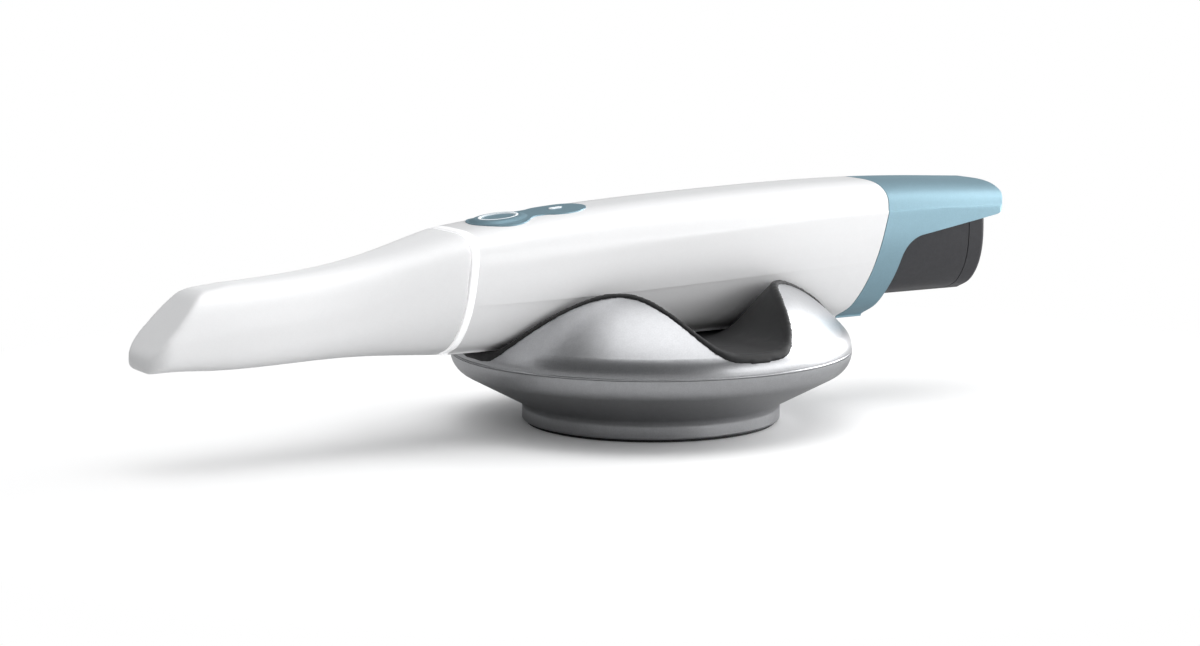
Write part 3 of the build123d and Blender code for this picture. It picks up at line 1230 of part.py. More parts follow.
def make_contact_pins():
    return [rod(BAY_FRONT_X, BATTERY_FRONT_X - RUN, y, CONTACT_HEIGHT, CONTACT_PIN_RADIUS)
            for y in contact_places()]


def make_retention_spring():
    seat = BATTERY_BOTTOM - RUN - BAY_WALL
    leaf = block(*LEAF_X, -LEAF_HALF_WIDTH, LEAF_HALF_WIDTH, seat - LEAF_THICKNESS, seat)
    return leaf + block(*LEAF_NUB_X, -LEAF_HALF_WIDTH, LEAF_HALF_WIDTH,
                        seat - LEAF_THICKNESS, BATTERY_BOTTOM - RUN)


def make_battery_case():
    case = battery_form(BATTERY_FRONT_X, BATTERY_CASE_REAR_X)
    case -= battery_form(BATTERY_FRONT_X + BATTERY_WALL, BATTERY_CASE_REAR_X + 1, BATTERY_WALL)
    for y in contact_places():
        case -= rod(BATTERY_FRONT_X - 1, BATTERY_FRONT_X + 2, y, CONTACT_HEIGHT,
                    CONTACT_RADIUS + FIT)
    return case


def make_battery_cap():
    front = BATTERY_END_X - BATTERY_CAP_LENGTH
    cap = battery_form(front, BATTERY_END_X)
    rim = cap.edges().group_by(Axis.X)[-1]
    cap = fillet(rim, BATTERY_CAP_ROUNDING)
    cap += battery_form(front - BATTERY_CAP_WALL, front + 1, BATTERY_WALL + FIT)
    return cap - battery_form(front - BATTERY_CAP_WALL - 1, BATTERY_END_X - BATTERY_CAP_WALL,
                              BATTERY_WALL + FIT + BATTERY_CAP_SKIRT)


def make_battery_cells():
    reach = CELL_RADIUS + FIT
    return [rod(CELL_FRONT_X, CELL_FRONT_X + CELL_LENGTH, y, CELL_HEIGHT, CELL_RADIUS)
            for y in (-reach, reach)]


def make_cell_tray():
    front, rear = CELL_FRONT_X, CELL_FRONT_X + CELL_LENGTH
    tray = battery_form(front, rear, BATTERY_WALL + FIT)
    tray &= block(front, rear, -40, 40, 0, CELL_HEIGHT - TRAY_SIDE_DROP)
    hollow = battery_form(front + TRAY_END_WALL, rear - TRAY_END_WALL,
                          BATTERY_WALL + TRAY_FLOOR)
    tray -= hollow & block(front, rear, -40, 40, 0, CELL_HEIGHT - CELL_RADIUS - TRAY_FLOOR)
    for y in (-CELL_RADIUS - FIT, CELL_RADIUS + FIT):
        tray -= rod(front - 1, rear + 1, y, CELL_HEIGHT, CELL_RADIUS + FIT)
    tray -= block(front - 1, rear + 1, -2 * CELL_RADIUS, 2 * CELL_RADIUS,
                  CELL_HEIGHT - 3, HIGH)
    return max(tray.solids(), key=lambda solid: solid.volume)


def make_battery_board():
    front = BATTERY_FRONT_X + BATTERY_WALL + FIT
    return block(front, front + BOARD_THICKNESS, -9, 9, CONTACT_HEIGHT - 5, CONTACT_HEIGHT + 9)


def make_battery_contacts():
    return [rod(BATTERY_FRONT_X, BATTERY_FRONT_X + BATTERY_WALL + FIT, y, CONTACT_HEIGHT,
                CONTACT_RADIUS)
            for y in contact_places()]


# ---- writing ----------------------------------------------------------------------------
STAND_PIECES = {
    "stand_lower_shell": make_stand_lower_shell,
    "stand_upper_shell": make_stand_upper_shell,
    "cradle_liner": make_cradle_liner,
    "foot_pad": make_foot_pad,
    "stand_ballast": make_ballast,
    "stand_screws": make_stand_screws,
}
SCANNER_PIECES = {
    "upper_housing": make_upper_housing,
    "lower_housing": make_lower_housing,
    "nose_ring": make_nose_ring,
    "rear_cover": make_rear_cover,
    "cover_screws": make_cover_screws,
    "control_pad": make_control_pad,
    "button_light_ring": make_button_light_ring,
    "scan_button": make_scan_button,
    "indicator_light": make_indicator_light,
    "button_board": make_button_board,
    "key_switch": make_key_switch,
    "nose_barrel": make_nose_barrel,
    "nose_window": make_nose_window,
    "nose_lens": make_nose_lens,
    "nose_seal": make_nose_seal,
    "tip_springs": make_tip_springs,
    "flange_screws": make_flange_screws,
    "tip_sleeve": make_tip_sleeve,
    "tip_mirror": make_tip_mirror,
    "mirror_frame": make_mirror_frame,
    "chassis": make_chassis,
    "shell_screws": make_shell_screws,
    "guide_rods": make_guide_rods,
    "lens_carriage": make_lens_carriage,
    "focus_lens": make_focus_lens,
    "focus_coil": make_focus_coil,
    "focus_magnets": make_focus_magnets,
    "lens_barrel": make_lens_barrel,
    "relay_lenses": make_relay_lenses,
    "beam_splitter": make_beam_splitter,
    "image_sensor": make_image_sensor,
    "sensor_board": make_sensor_board,
    "ribbon_cable": make_ribbon_cable,
    "lamp_holder": make_lamp_holder,
    "pattern_plate": make_pattern_plate,
    "collimator_lens": make_collimator_lens,
    "light_board": make_light_board,
    "heat_sink": make_heat_sink,
    "main_board": make_main_board,
    "board_chips": make_board_chips,
    "board_screws": make_board_screws,
    "antenna_board": make_antenna_board,
    "battery_bay": make_battery_bay,
    "bay_screws": make_bay_screws,
    "contact_board": make_contact_board,
    "contact_pins": make_contact_pins,
    "retention_spring": make_retention_spring,
    "battery_case": make_battery_case,
    "battery_cap": make_battery_cap,
    "battery_cells": make_battery_cells,
    "cell_tray": make_cell_tray,
    "battery_board": make_battery_board,
    "battery_contacts": make_battery_contacts,
}


def write_piece(name, made, lift):
    """Write one node: a single solid, or a group of separate ones."""
    if isinstance(made, (list, tuple)):
        made = Compound(children=[Compound([*piece.solids()]) for piece in made])
    solids = [Pos(0, 0, lift) * solid for solid in made.solids()]
    shape = solids[0] if len(solids) == 1 else Compound(solids)
    export_step(shape, os.path.join("parts", name + ".step"))


def main():
    os.makedirs("parts", exist_ok=True)
    for name, make in STAND_PIECES.items():
        write_piece(name, make(), 0.0)
    for name, make in SCANNER_PIECES.items():
        write_piece(name, make(), BELLY_Z)


if __name__ == "__main__":
    main()
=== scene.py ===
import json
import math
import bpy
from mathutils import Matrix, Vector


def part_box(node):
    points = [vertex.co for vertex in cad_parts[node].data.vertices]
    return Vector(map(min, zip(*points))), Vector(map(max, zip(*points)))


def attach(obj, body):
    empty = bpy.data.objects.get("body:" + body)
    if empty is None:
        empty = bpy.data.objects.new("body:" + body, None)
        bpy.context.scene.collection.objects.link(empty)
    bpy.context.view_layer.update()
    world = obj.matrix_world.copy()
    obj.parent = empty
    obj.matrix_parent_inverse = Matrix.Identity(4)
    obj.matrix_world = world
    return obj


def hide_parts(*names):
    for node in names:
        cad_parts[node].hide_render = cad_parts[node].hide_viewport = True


bl_info = {
    "name": "Intraoral scanner in its desk stand",
    "version": (1, 0, 0),
    "blender": (4, 5, 0),
    "location": "3D View > Sidebar > Scanner",
    "description": "Finishes, soft-edged shells and stage for a cordless intraoral scanner",
    "category": "Object",
}

import bpy
import numpy as np
from bpy.props import FloatProperty, FloatVectorProperty, IntProperty, PointerProperty
from bpy.types import Operator, Panel, PropertyGroup
from mathutils import Vector

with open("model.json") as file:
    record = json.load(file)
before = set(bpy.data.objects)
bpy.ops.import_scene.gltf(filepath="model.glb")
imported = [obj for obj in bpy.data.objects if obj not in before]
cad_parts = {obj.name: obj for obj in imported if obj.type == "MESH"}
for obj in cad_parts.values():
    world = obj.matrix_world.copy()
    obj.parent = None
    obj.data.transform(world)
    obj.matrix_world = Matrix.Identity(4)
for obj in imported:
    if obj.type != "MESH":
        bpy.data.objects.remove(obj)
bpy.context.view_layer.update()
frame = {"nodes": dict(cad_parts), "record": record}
MM = 0.001

# finishes
COARSE_GRAIN = 0.22         # grains per metre of the coarse grain, as a share of the fine
TONE_FROM = 0.35            # part of the grain's range that its two shades spread over
TONE_TO = 0.65
BUMP_STRENGTH = 0.6

# soft-edged shells
TIP_FADE_START = 0.6        # shares of the soft reach where the tip's easing fades
TIP_FADE_KNEE = 0.7
TIP_KNEE_SHARE = 0.35       # what is left of it at the second
BEAD_NONE = 0.05 * MM       # easing draws the points of open faces less far than this
BEAD_FULL = 0.15 * MM       # and those of edges further than this
BEAD_SPREAD = 8             # rounds that widen an edge's band
BEAD_SETTLING = 5           # rounds that even out the bead

# rings on the stand
RING_TURNS = 240            # faces round a ring
BEAD_SIDES = 16
COVE_SIDES = 14
SHARP_EDGE = math.radians(40.0)
FOOT_RADIUS = 37.7 * MM     # corner where the foot meets the cone of the underside
FOOT_TOP = 5.9 * MM
CONE_RISE = 0.4866          # slope of that cone, radians

# stage
FLOOR_REACH = 9.0
ROOM_TINT = (0.97, 0.985, 1.0, 1.0)
WHITE = (1.0, 1.0, 1.0, 1.0)
ROOM_PALE_SIDE = (0.8, 0.0, 0.6)    # direction in which the room is palest
STAND_MIDDLE = (0.0, 0.0, 0.03)     # where the lights are turned to
BODY_MIDDLE = (0.0, 0.0, 0.04)


# ---- shared shader effects ----------------------------------------------------------------
def new_group(name, inputs, outputs):
    """Empty shader node group with named float and colour sockets."""
    group = bpy.data.node_groups.new(name, "ShaderNodeTree")
    for label, default in inputs:
        kind = "NodeSocketColor" if isinstance(default, tuple) else "NodeSocketFloat"
        socket = group.interface.new_socket(label, in_out="INPUT", socket_type=kind)
        socket.default_value = default
    for label, kind in outputs:
        group.interface.new_socket(label, in_out="OUTPUT", socket_type=kind)
    return group, group.nodes.new("NodeGroupInput"), group.nodes.new("NodeGroupOutput")


def add_node(tree, kind, **settings):
    node = tree.nodes.new(kind)
    for label, value in settings.items():
        setattr(node, label, value)
    return node


def map_range(tree, value, low, high, start=0.0, stop=1.0):
    """Socket of a Map Range node from start..stop to low..high, numbers or sockets."""
    node = add_node(tree, "ShaderNodeMapRange")
    node.inputs["From Min"].default_value = start
    node.inputs["From Max"].default_value = stop
    tree.links.new(value, node.inputs["Value"])
    for label, end in (("To Min", low), ("To Max", high)):
        if isinstance(end, bpy.types.NodeSocket):
            tree.links.new(end, node.inputs[label])
        else:
            node.inputs[label].default_value = end
    return node.outputs["Result"]


def grain_group():
    """Fine all-over grain: a height for bumps and a mask around one half."""
    name = "fine_grain"
    if name in bpy.data.node_groups:
        return bpy.data.node_groups[name]
    group, start, end = new_group(
        name, [("Grains per Metre", 2500.0), ("Coarse Share", 0.3)],
        [("Height", "NodeSocketFloat"), ("Mask", "NodeSocketFloat")])
    place = add_node(group, "ShaderNodeTexCoord")
    fine = add_node(group, "ShaderNodeTexNoise")
    fine.inputs["Detail"].default_value = 2.0
    coarse = add_node(group, "ShaderNodeTexNoise")
    coarse.inputs["Detail"].default_value = 1.0
    wider = add_node(group, "ShaderNodeMath", operation="MULTIPLY")
    wider.inputs[1].default_value = COARSE_GRAIN
    blend = add_node(group, "ShaderNodeMix", data_type="FLOAT")
    link = group.links.new
    link(place.outputs["Object"], fine.inputs["Vector"])
    link(place.outputs["Object"], coarse.inputs["Vector"])
    link(start.outputs["Grains per Metre"], fine.inputs["Scale"])
    link(start.outputs["Grains per Metre"], wider.inputs[0])
    link(wider.outputs[0], coarse.inputs["Scale"])
    link(start.outputs["Coarse Share"], blend.inputs["Factor"])
    link(fine.outputs["Fac"], blend.inputs["A"])
    link(coarse.outputs["Fac"], blend.inputs["B"])
    link(blend.outputs["Result"], end.inputs["Height"])
    link(blend.outputs["Result"], end.inputs["Mask"])
    return group


def handling_group():
    """Broad, faint patches where hands have touched a surface: a roughness that varies."""
    name = "handling"
    if name in bpy.data.node_groups:
        return bpy.data.node_groups[name]
    group, start, end = new_group(
        name, [("Roughness", 0.3), ("Spread", 0.05), ("Patches per Metre", 45.0)],
        [("Roughness", "NodeSocketFloat")])
    place = add_node(group, "ShaderNodeTexCoord")
    patches = add_node(group, "ShaderNodeTexNoise")
    patches.inputs["Detail"].default_value = 4.0
    centred = add_node(group, "ShaderNodeMath", operation="SUBTRACT")
    centred.inputs[1].default_value = 0.5
    scaled = add_node(group, "ShaderNodeMath", operation="MULTIPLY")
    total = add_node(group, "ShaderNodeMath", operation="ADD", use_clamp=True)
    link = group.links.new
    link(place.outputs["Object"], patches.inputs["Vector"])
    link(start.outputs["Patches per Metre"], patches.inputs["Scale"])
    link(patches.outputs["Fac"], centred.inputs[0])
    link(centred.outputs[0], scaled.inputs[0])
    link(start.outputs["Spread"], scaled.inputs[1])
    link(scaled.outputs[0], total.inputs[0])
    link(start.outputs["Roughness"], total.inputs[1])
    link(total.outputs[0], end.inputs["Roughness"])
    return group


def tone_group():
    """Two close shades of a colour, mixed by a mask."""
    name = "close_tones"
    if name in bpy.data.node_groups:
        return bpy.data.node_groups[name]
    group, start, end = new_group(
        name, [("Light", (0.8, 0.8, 0.8, 1.0)), ("Dark", (0.7, 0.7, 0.7, 1.0)), ("Mask", 0.5)],
        [("Color", "NodeSocketColor")])
    ramp = map_range(group, start.outputs["Mask"], 0.0, 1.0, TONE_FROM, TONE_TO)
    blend = add_node(group, "ShaderNodeMix", data_type="RGBA")
    link = group.links.new
    link(ramp, blend.inputs["Factor"])
    link(start.outputs["Dark"], blend.inputs["A"])
    link(start.outputs["Light"], blend.inputs["B"])
    link(blend.outputs["Result"], end.inputs["Color"])
    return group


# ---- finishes -----------------------------------------------------------------------------
def finish(name, colour, roughness, metallic=0.0, grain=2500.0, depth=0.004, tones=0.04,
           handling=0.04, coat=0.0, coat_roughness=0.1, coarse=0.3, **own):
    """Material with fine grain in its colour and relief, and touched patches.

    grain is in grains per metre and depth in millimetres; own holds further sockets of the
    shader, with _ for each space.
    """
    material = bpy.data.materials.new(name + "_finish")
    material.use_nodes = True
    tree = material.node_tree
    shader = tree.nodes["Principled BSDF"]
    shader.inputs["Metallic"].default_value = metallic
    shader.inputs["Coat Weight"].default_value = coat
    shader.inputs["Coat Roughness"].default_value = coat_roughness
    for label, value in own.items():
        shader.inputs[label.replace("_", " ")].default_value = value
    grains = add_node(tree, "ShaderNodeGroup", node_tree=grain_group())
    grains.inputs["Grains per Metre"].default_value = grain
    grains.inputs["Coarse Share"].default_value = coarse
    shades = add_node(tree, "ShaderNodeGroup", node_tree=tone_group())
    shades.inputs["Light"].default_value = (*(min(1.0, c * (1 + tones)) for c in colour), 1.0)
    shades.inputs["Dark"].default_value = (*(c * (1 - tones) for c in colour), 1.0)
    touched = add_node(tree, "ShaderNodeGroup", node_tree=handling_group())
    touched.inputs["Roughness"].default_value = roughness
    touched.inputs["Spread"].default_value = handling
    bump = add_node(tree, "ShaderNodeBump")
    bump.inputs["Strength"].default_value = BUMP_STRENGTH
    bump.inputs["Distance"].default_value = depth * MM
    link = tree.links.new
    link(grains.outputs["Mask"], shades.inputs["Mask"])
    link(shades.outputs["Color"], shader.inputs["Base Color"])
    link(touched.outputs["Roughness"], shader.inputs["Roughness"])
    link(grains.outputs["Height"], bump.inputs["Height"])
    link(bump.outputs["Normal"], shader.inputs["Normal"])
    return material


def finish_settings(looks):
    """Settings of the finish of each of the record's material slots."""
    return {
        "stand_silver": dict(colour=looks.silver, roughness=0.34, metallic=0.95, grain=2600.0,
                             depth=0.012, tones=0.06, handling=0.03, coat=0.15,
                             coat_roughness=0.25),
        "liner_rubber": dict(colour=looks.rubber, roughness=0.62, grain=3500.0, depth=0.02,
                             tones=0.12, coarse=0.5),
        "pad_rubber": dict(colour=(0.015, 0.015, 0.016), roughness=0.7, grain=3000.0,
                           depth=0.03, tones=0.15),
        "ballast_iron": dict(colour=(0.12, 0.12, 0.125), roughness=0.62, metallic=0.8,
                             grain=900.0, depth=0.12, tones=0.25, handling=0.15),
        "screw_steel": dict(colour=(0.52, 0.52, 0.54), roughness=0.3, metallic=1.0,
                            grain=5000.0, depth=0.004, tones=0.1, handling=0.1),
        "housing_white": dict(colour=looks.white, roughness=0.3, coat=0.35,
                              coat_roughness=0.12, grain=1500.0, depth=0.003, tones=0.008),
        # the nose ring is no lamp: its emission is painted light that keeps it bright white
        # where it would be shaded
        "trim_white": dict(colour=(0.9, 0.9, 0.91), roughness=0.25, coat=0.3, grain=1500.0,
                           depth=0.003, tones=0.008, Emission_Strength=0.4,
                           Emission_Color=(1.0, 1.0, 1.0, 1.0)),
        "cover_blue": dict(colour=looks.blue, roughness=0.47, metallic=0.78, grain=2200.0,
                           depth=0.006, tones=0.03),
        "light_ring": dict(colour=(0.9, 0.93, 0.95), roughness=0.35, grain=2000.0,
                           depth=0.002, tones=0.01, Emission_Strength=0.12,
                           Emission_Color=(0.9, 0.96, 1.0, 1.0)),
        "board_green": dict(colour=(0.02, 0.15, 0.07), roughness=0.3, coat=0.5, grain=700.0,
                            depth=0.02, tones=0.2),
        "switch_steel": dict(colour=(0.6, 0.6, 0.6), roughness=0.35, metallic=1.0,
                             depth=0.005),
        "nose_black": dict(colour=(0.02, 0.02, 0.022), roughness=0.5, depth=0.015,
                           tones=0.15),
        "optic_glass": dict(colour=(0.86, 0.93, 0.95), roughness=0.03, tones=0.01,
                            handling=0.01, depth=0.0005, Transmission_Weight=0.9, IOR=1.52),
        "seal_rubber": dict(colour=(0.03, 0.03, 0.032), roughness=0.55, tones=0.1),
        "spring_steel": dict(colour=(0.6, 0.6, 0.61), roughness=0.22, metallic=1.0,
                             depth=0.003, tones=0.06),
        "tip_white": dict(colour=looks.tip, roughness=0.42, coat=0.12, coat_roughness=0.25,
                          grain=2000.0, depth=0.005, tones=0.01),
        "mirror_silver": dict(colour=(0.93, 0.94, 0.95), roughness=0.02, metallic=1.0,
                              depth=0.0002, tones=0.005, handling=0.01),
        "bench_aluminium": dict(colour=(0.58, 0.59, 0.6), roughness=0.36, metallic=1.0,
                                grain=1800.0, depth=0.01, tones=0.08, handling=0.1),
        "coil_copper": dict(colour=(0.62, 0.26, 0.11), roughness=0.3, metallic=1.0,
                            grain=4000.0, depth=0.02, tones=0.2),
        "magnet_nickel": dict(colour=(0.66, 0.64, 0.58), roughness=0.16, metallic=1.0,
                              depth=0.003),
        "barrel_black": dict(colour=(0.02, 0.02, 0.021), roughness=0.36, metallic=0.4,
                             depth=0.006, tones=0.1),
        "chip_black": dict(colour=(0.018, 0.018, 0.02), roughness=0.48, grain=3500.0,
                           depth=0.012, tones=0.2),
        "ribbon_amber": dict(colour=(0.45, 0.2, 0.03), roughness=0.25, coat=0.4, grain=900.0,
                             depth=0.01, tones=0.12),
        "contact_gold": dict(colour=(0.83, 0.58, 0.2), roughness=0.2, metallic=1.0,
                             depth=0.003),
        "battery_grey": dict(colour=looks.charcoal, roughness=0.42, grain=3000.0,
                             depth=0.015, tones=0.08, coarse=0.4, Specular_IOR_Level=0.2),
        "cell_blue": dict(colour=(0.04, 0.16, 0.3), roughness=0.28, coat=0.4, grain=1200.0,
                          depth=0.006, tones=0.05),
    }


FINISHES = {}


def slot_finish(slot):
    """The finish of one of the record's material slots, made once."""
    if slot not in FINISHES:
        settings = finish_settings(bpy.context.scene.scanner_looks)
        FINISHES[slot] = finish(slot, **settings[slot])
    return FINISHES[slot]


SLOT_OF = {part["node"]: part["material_slot"] for part in frame["record"]["subparts"]}


def dress(*nodes):
    """Give CAD nodes the finishes of their slots."""
    for node in nodes:
        material = slot_finish(SLOT_OF[node])
        mesh = frame["nodes"][node].data
        if not mesh.materials:
            mesh.materials.append(material)
        for index in range(len(mesh.materials)):
            mesh.materials[index] = material


# ---- settings -----------------------------------------------------------------------------
def tone(label, note, default):
    return FloatVectorProperty(name=label, description=note, subtype="COLOR", size=3,
                               min=0.0, max=1.0, default=default)


class ScannerLooks(PropertyGroup):
    white: tone("Housing White", "Colour of the two housings", (0.83, 0.83, 0.835))
    tip: tone("Tip White", "Colour of the removable tip", (0.83, 0.83, 0.835))
    blue: tone("Cover Blue", "Colour of the rear cover and control pad", (0.3, 0.462, 0.543))
    charcoal: tone("Battery Grey", "Colour of the battery", (0.052, 0.052, 0.056))
    silver: tone("Stand Silver", "Colour of the stand's shells", (0.5, 0.505, 0.52))
    rubber: tone("Liner Rubber", "Colour of the cradle's liner", (0.013, 0.013, 0.014))


class ScannerShapes(PropertyGroup):
    tip_grid: FloatProperty(name="Tip Faces", description="Size of the tip's faces",
                            default=0.00045, min=0.0002, max=0.002, unit="LENGTH")
    tip_rounds: IntProperty(name="Tip Softness", description="How often its edges are eased",
                            default=15, min=0, max=200)
    tip_soft_end: FloatProperty(name="Tip End", description="Length of the tip's blunt end",
                                default=0.012, min=0.005, max=0.03, unit="LENGTH")
    tip_soft_reach: FloatProperty(name="Soft Reach", description="How far back edges are eased",
                                  default=0.032, min=0.01, max=0.06, unit="LENGTH")
    liner_grid: FloatProperty(name="Liner Faces", description="Size of the liner's faces",
                              default=0.0005, min=0.0002, max=0.002, unit="LENGTH")
    liner_rounds: IntProperty(name="Liner Softness", description="How often it is eased",
                              default=8, min=0, max=60)
    liner_bead: FloatProperty(name="Liner Bead", description="How far its edge swells",
                              default=0.0005, min=0.0, max=0.001, unit="LENGTH")
    rim_bead: FloatProperty(name="Rim Bead", description="Radius of the bead between the shells",
                            default=0.00036, min=0.0, max=0.0005, unit="LENGTH")
    cove: FloatProperty(name="Cove", description="Radius between the foot and the cone",
                        default=0.0026, min=0.0, max=0.005, unit="LENGTH")
    settling: IntProperty(name="Settling", description="How often new faces are evened out",
                          default=6, min=0, max=30)


class ScannerStage(PropertyGroup):
    lens: FloatProperty(name="Lens", description="Focal length in millimetres",
                        default=84.0, min=20.0, max=200.0)
    distance: FloatProperty(name="Distance", description="Camera to the stand's middle",
                            default=0.8178, min=0.2, max=3.0, unit="LENGTH")
    turn: FloatProperty(name="Turn", description="How far round the camera stands",
                        default=0.55, subtype="ANGLE")
    rise: FloatProperty(name="Rise", description="How far the camera stands above",
                        default=0.1616, subtype="ANGLE")
    target: FloatProperty(name="Target Height", description="Height the distance is from",
                          default=0.0193, unit="LENGTH")
    aim_turn: FloatProperty(name="Aim Turn", description="Heading of the camera",
                            default=0.5316, subtype="ANGLE")
    aim_drop: FloatProperty(name="Aim Drop", description="How far the camera looks down",
                            default=0.1507, subtype="ANGLE")
    floor: tone("Floor", "Colour of the floor", (0.9, 0.9, 0.9))
    bounce: FloatProperty(name="Bounce", description="Share of light the floor throws back",
                          default=0.65, min=0.0, max=1.0, subtype="FACTOR")
    floor_slant: FloatProperty(name="Floor Slant", description="Its loss of bounce at the left",
                               default=0.2, min=0.0, max=1.0, subtype="FACTOR")
    slant_reach: FloatProperty(name="Slant Reach", description="Where that loss is whole",
                               default=0.25, min=0.05, unit="LENGTH")
    gloss_bounce: FloatProperty(name="Gloss Bounce", description="Floor's grey in reflections",
                                default=0.42, min=0.0, max=1.0, subtype="FACTOR")
    fade_from: FloatProperty(name="Shadow Full To", description="Where shadows start to pale",
                             default=0.03, min=0.0, unit="LENGTH")
    fade_to: FloatProperty(name="Shadow Gone At", description="Where the floor is pure white",
                           default=0.25, min=0.0, unit="LENGTH")
    sky: FloatProperty(name="Room Light", description="Strength of the pale room",
                       default=0.32, min=0.0)
    sky_slant: FloatProperty(name="Room Slant", description="How much paler its right side is",
                             default=0.65, min=0.0, max=1.0, subtype="FACTOR")
    gloss_sky: FloatProperty(name="Room in Gloss", description="The room's grey in reflections",
                             default=0.16, min=0.0)
    gloss_slant: FloatProperty(name="Slant in Gloss", description="The same in reflections",
                               default=0.6, min=0.0, max=1.0, subtype="FACTOR")
    key: FloatProperty(name="Side Light", description="Power of the large light at the side",
                       default=20.0, min=0.0, unit="POWER")
    overhead: FloatProperty(name="Overhead Light", description="Power of the light above",
                            default=6.0, min=0.0, unit="POWER")
    top: FloatProperty(name="Top Fill", description="Power of the light above without gloss",
                       default=5.0, min=0.0, unit="POWER")
    front: FloatProperty(name="Front Light", description="Power of the low light in front",
                         default=4.0, min=0.0, unit="POWER")
    fill: FloatProperty(name="Fill Light", description="Power of the light without gloss",
                        default=3.2, min=0.0, unit="POWER")


# ---- soft-edged shells --------------------------------------------------------------------
def even_copy(node, name, voxel):
    """New piece with a CAD node's shape, in small even faces."""
    piece = bpy.data.objects.new(name, frame["nodes"][node].data.copy())
    bpy.context.collection.objects.link(piece)
    remesh = piece.modifiers.new("even_faces", "REMESH")
    remesh.mode = "VOXEL"
    remesh.voxel_size = voxel
    graph = bpy.context.evaluated_depsgraph_get()
    mesh = bpy.data.meshes.new_from_object(piece.evaluated_get(graph))
    piece.modifiers.clear()
    piece.data = mesh
    mesh.shade_smooth()
    mesh.materials.clear()
    mesh.materials.append(slot_finish(SLOT_OF[node]))
    return piece


def mesh_points(mesh):
    """Places and outward normals of a mesh's points, a row for each."""
    places = np.empty(3 * len(mesh.vertices))
    mesh.vertices.foreach_get("co", places)
    normals = np.empty(3 * len(mesh.vertices))
    mesh.vertex_normals.foreach_get("vector", normals)
    return places.reshape(-1, 3), normals.reshape(-1, 3)


def even_out(mesh, rows, shares, rounds):
    """Draw each point's row of values towards its neighbours' middle, by a share."""
    ends = np.empty(2 * len(mesh.edges), dtype=np.int64)
    mesh.edges.foreach_get("vertices", ends)
    one, other = ends[0::2], ends[1::2]
    count = len(rows)
    neighbours = np.bincount(one, minlength=count) + np.bincount(other, minlength=count)
    pull = (0.5 * shares / np.maximum(neighbours, 1))[:, None]
    for _ in range(rounds):
        total = np.stack([np.bincount(one, weights=rows[other, column], minlength=count)
                          + np.bincount(other, weights=rows[one, column], minlength=count)
                          for column in range(rows.shape[1])], axis=1)
        rows = rows + pull * (total - neighbours[:, None] * rows)
    return rows


def move_points(mesh, places):
    mesh.vertices.foreach_set("co", places.ravel())
    mesh.update()


def ease(mesh, shares, rounds):
    """Round a mesh's edges off by drawing each point to its neighbours' middle, by a share."""
    places, _ = mesh_points(mesh)
    move_points(mesh, even_out(mesh, places, shares, rounds))


def bead(mesh, rounds, height):
    """Round a mesh's edges off, then swell them into a bead."""
    everywhere = np.ones(len(mesh.vertices))
    before, _ = mesh_points(mesh)
    ease(mesh, everywhere, rounds)
    places, normals = mesh_points(mesh)
    drawn = np.linalg.norm(places - before, axis=1, keepdims=True)
    edge = np.interp(drawn, (BEAD_NONE, BEAD_FULL), (0.0, 1.0))
    edge = np.minimum(2.0 * even_out(mesh, edge, everywhere, BEAD_SPREAD), 1.0)
    move_points(mesh, places + height * edge * normals)
    ease(mesh, everywhere, BEAD_SETTLING)


def arc(centre, radius, start, stop, steps, closed=False):
    """Points along an arc in the upright plane, as radii and heights."""
    return [(centre[0] + radius * math.cos(angle), centre[1] + radius * math.sin(angle))
            for angle in np.linspace(start, stop, steps, endpoint=not closed)]


def turned_ring(name, section, node, body):
    """New ring beside a CAD node: a closed section of radii and heights, turned about Z."""
    points = [(radius * math.cos(angle), radius * math.sin(angle), height)
              for angle in np.linspace(0.0, 2.0 * math.pi, RING_TURNS, endpoint=False)
              for radius, height in section]
    count = len(section)
    faces = []
    for turn in range(RING_TURNS):
        here, there = turn * count, (turn + 1) % RING_TURNS * count
        for place in range(count):
            after = (place + 1) % count
            faces.append((here + place, there + place, there + after, here + after))
    mesh = bpy.data.meshes.new(name)
    mesh.from_pydata(points, [], faces)
    mesh.shade_smooth()
    mesh.set_sharp_from_angle(angle=SHARP_EDGE)
    mesh.materials.append(slot_finish(SLOT_OF[node]))
    piece = bpy.data.objects.new(name, mesh)
    bpy.context.collection.objects.link(piece)
    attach(piece, body)


def stand_for(piece, node, body):
    """Put a piece in the place of a CAD node, on the body that the node rides on."""
    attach(piece, body)
    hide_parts(node)


# ---- operators ----------------------------------------------------------------------------
class DressNodes:
    """Shared execute of operators that only finish CAD nodes."""
    nodes = ()

    def execute(self, context):
        dress(*self.nodes)
        return {"FINISHED"}


class SCANNER_OT_stand(DressNodes, Operator):
    """Finish the stand, and add the bead between its shells and the cove above its foot"""
    bl_idname = "scanner.stand"
    bl_label = "Stand"
    nodes = ("stand_lower_shell", "stand_upper_shell", "foot_pad", "stand_ballast",
             "stand_screws")

    def execute(self, context):
        shapes = context.scene.scanner_shapes
        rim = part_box("stand_lower_shell")[1]
        size = shapes.rim_bead
        section = arc((rim.x - size, rim.z + size), size, 0.0, 2.0 * math.pi, BEAD_SIDES,
                      closed=True)
        turned_ring("rim_bead", section, "stand_lower_shell", "stand")
        size = shapes.cove
        run = size * math.tan(0.25 * math.pi - 0.5 * CONE_RISE)
        section = arc((FOOT_RADIUS + size, FOOT_TOP - run), size, math.pi,
                      0.5 * math.pi + CONE_RISE, COVE_SIDES)
        section.append((FOOT_RADIUS - 0.5 * run, FOOT_TOP + 0.5 * run))
        turned_ring("foot_cove", section, "stand_lower_shell", "stand")
        return super().execute(context)


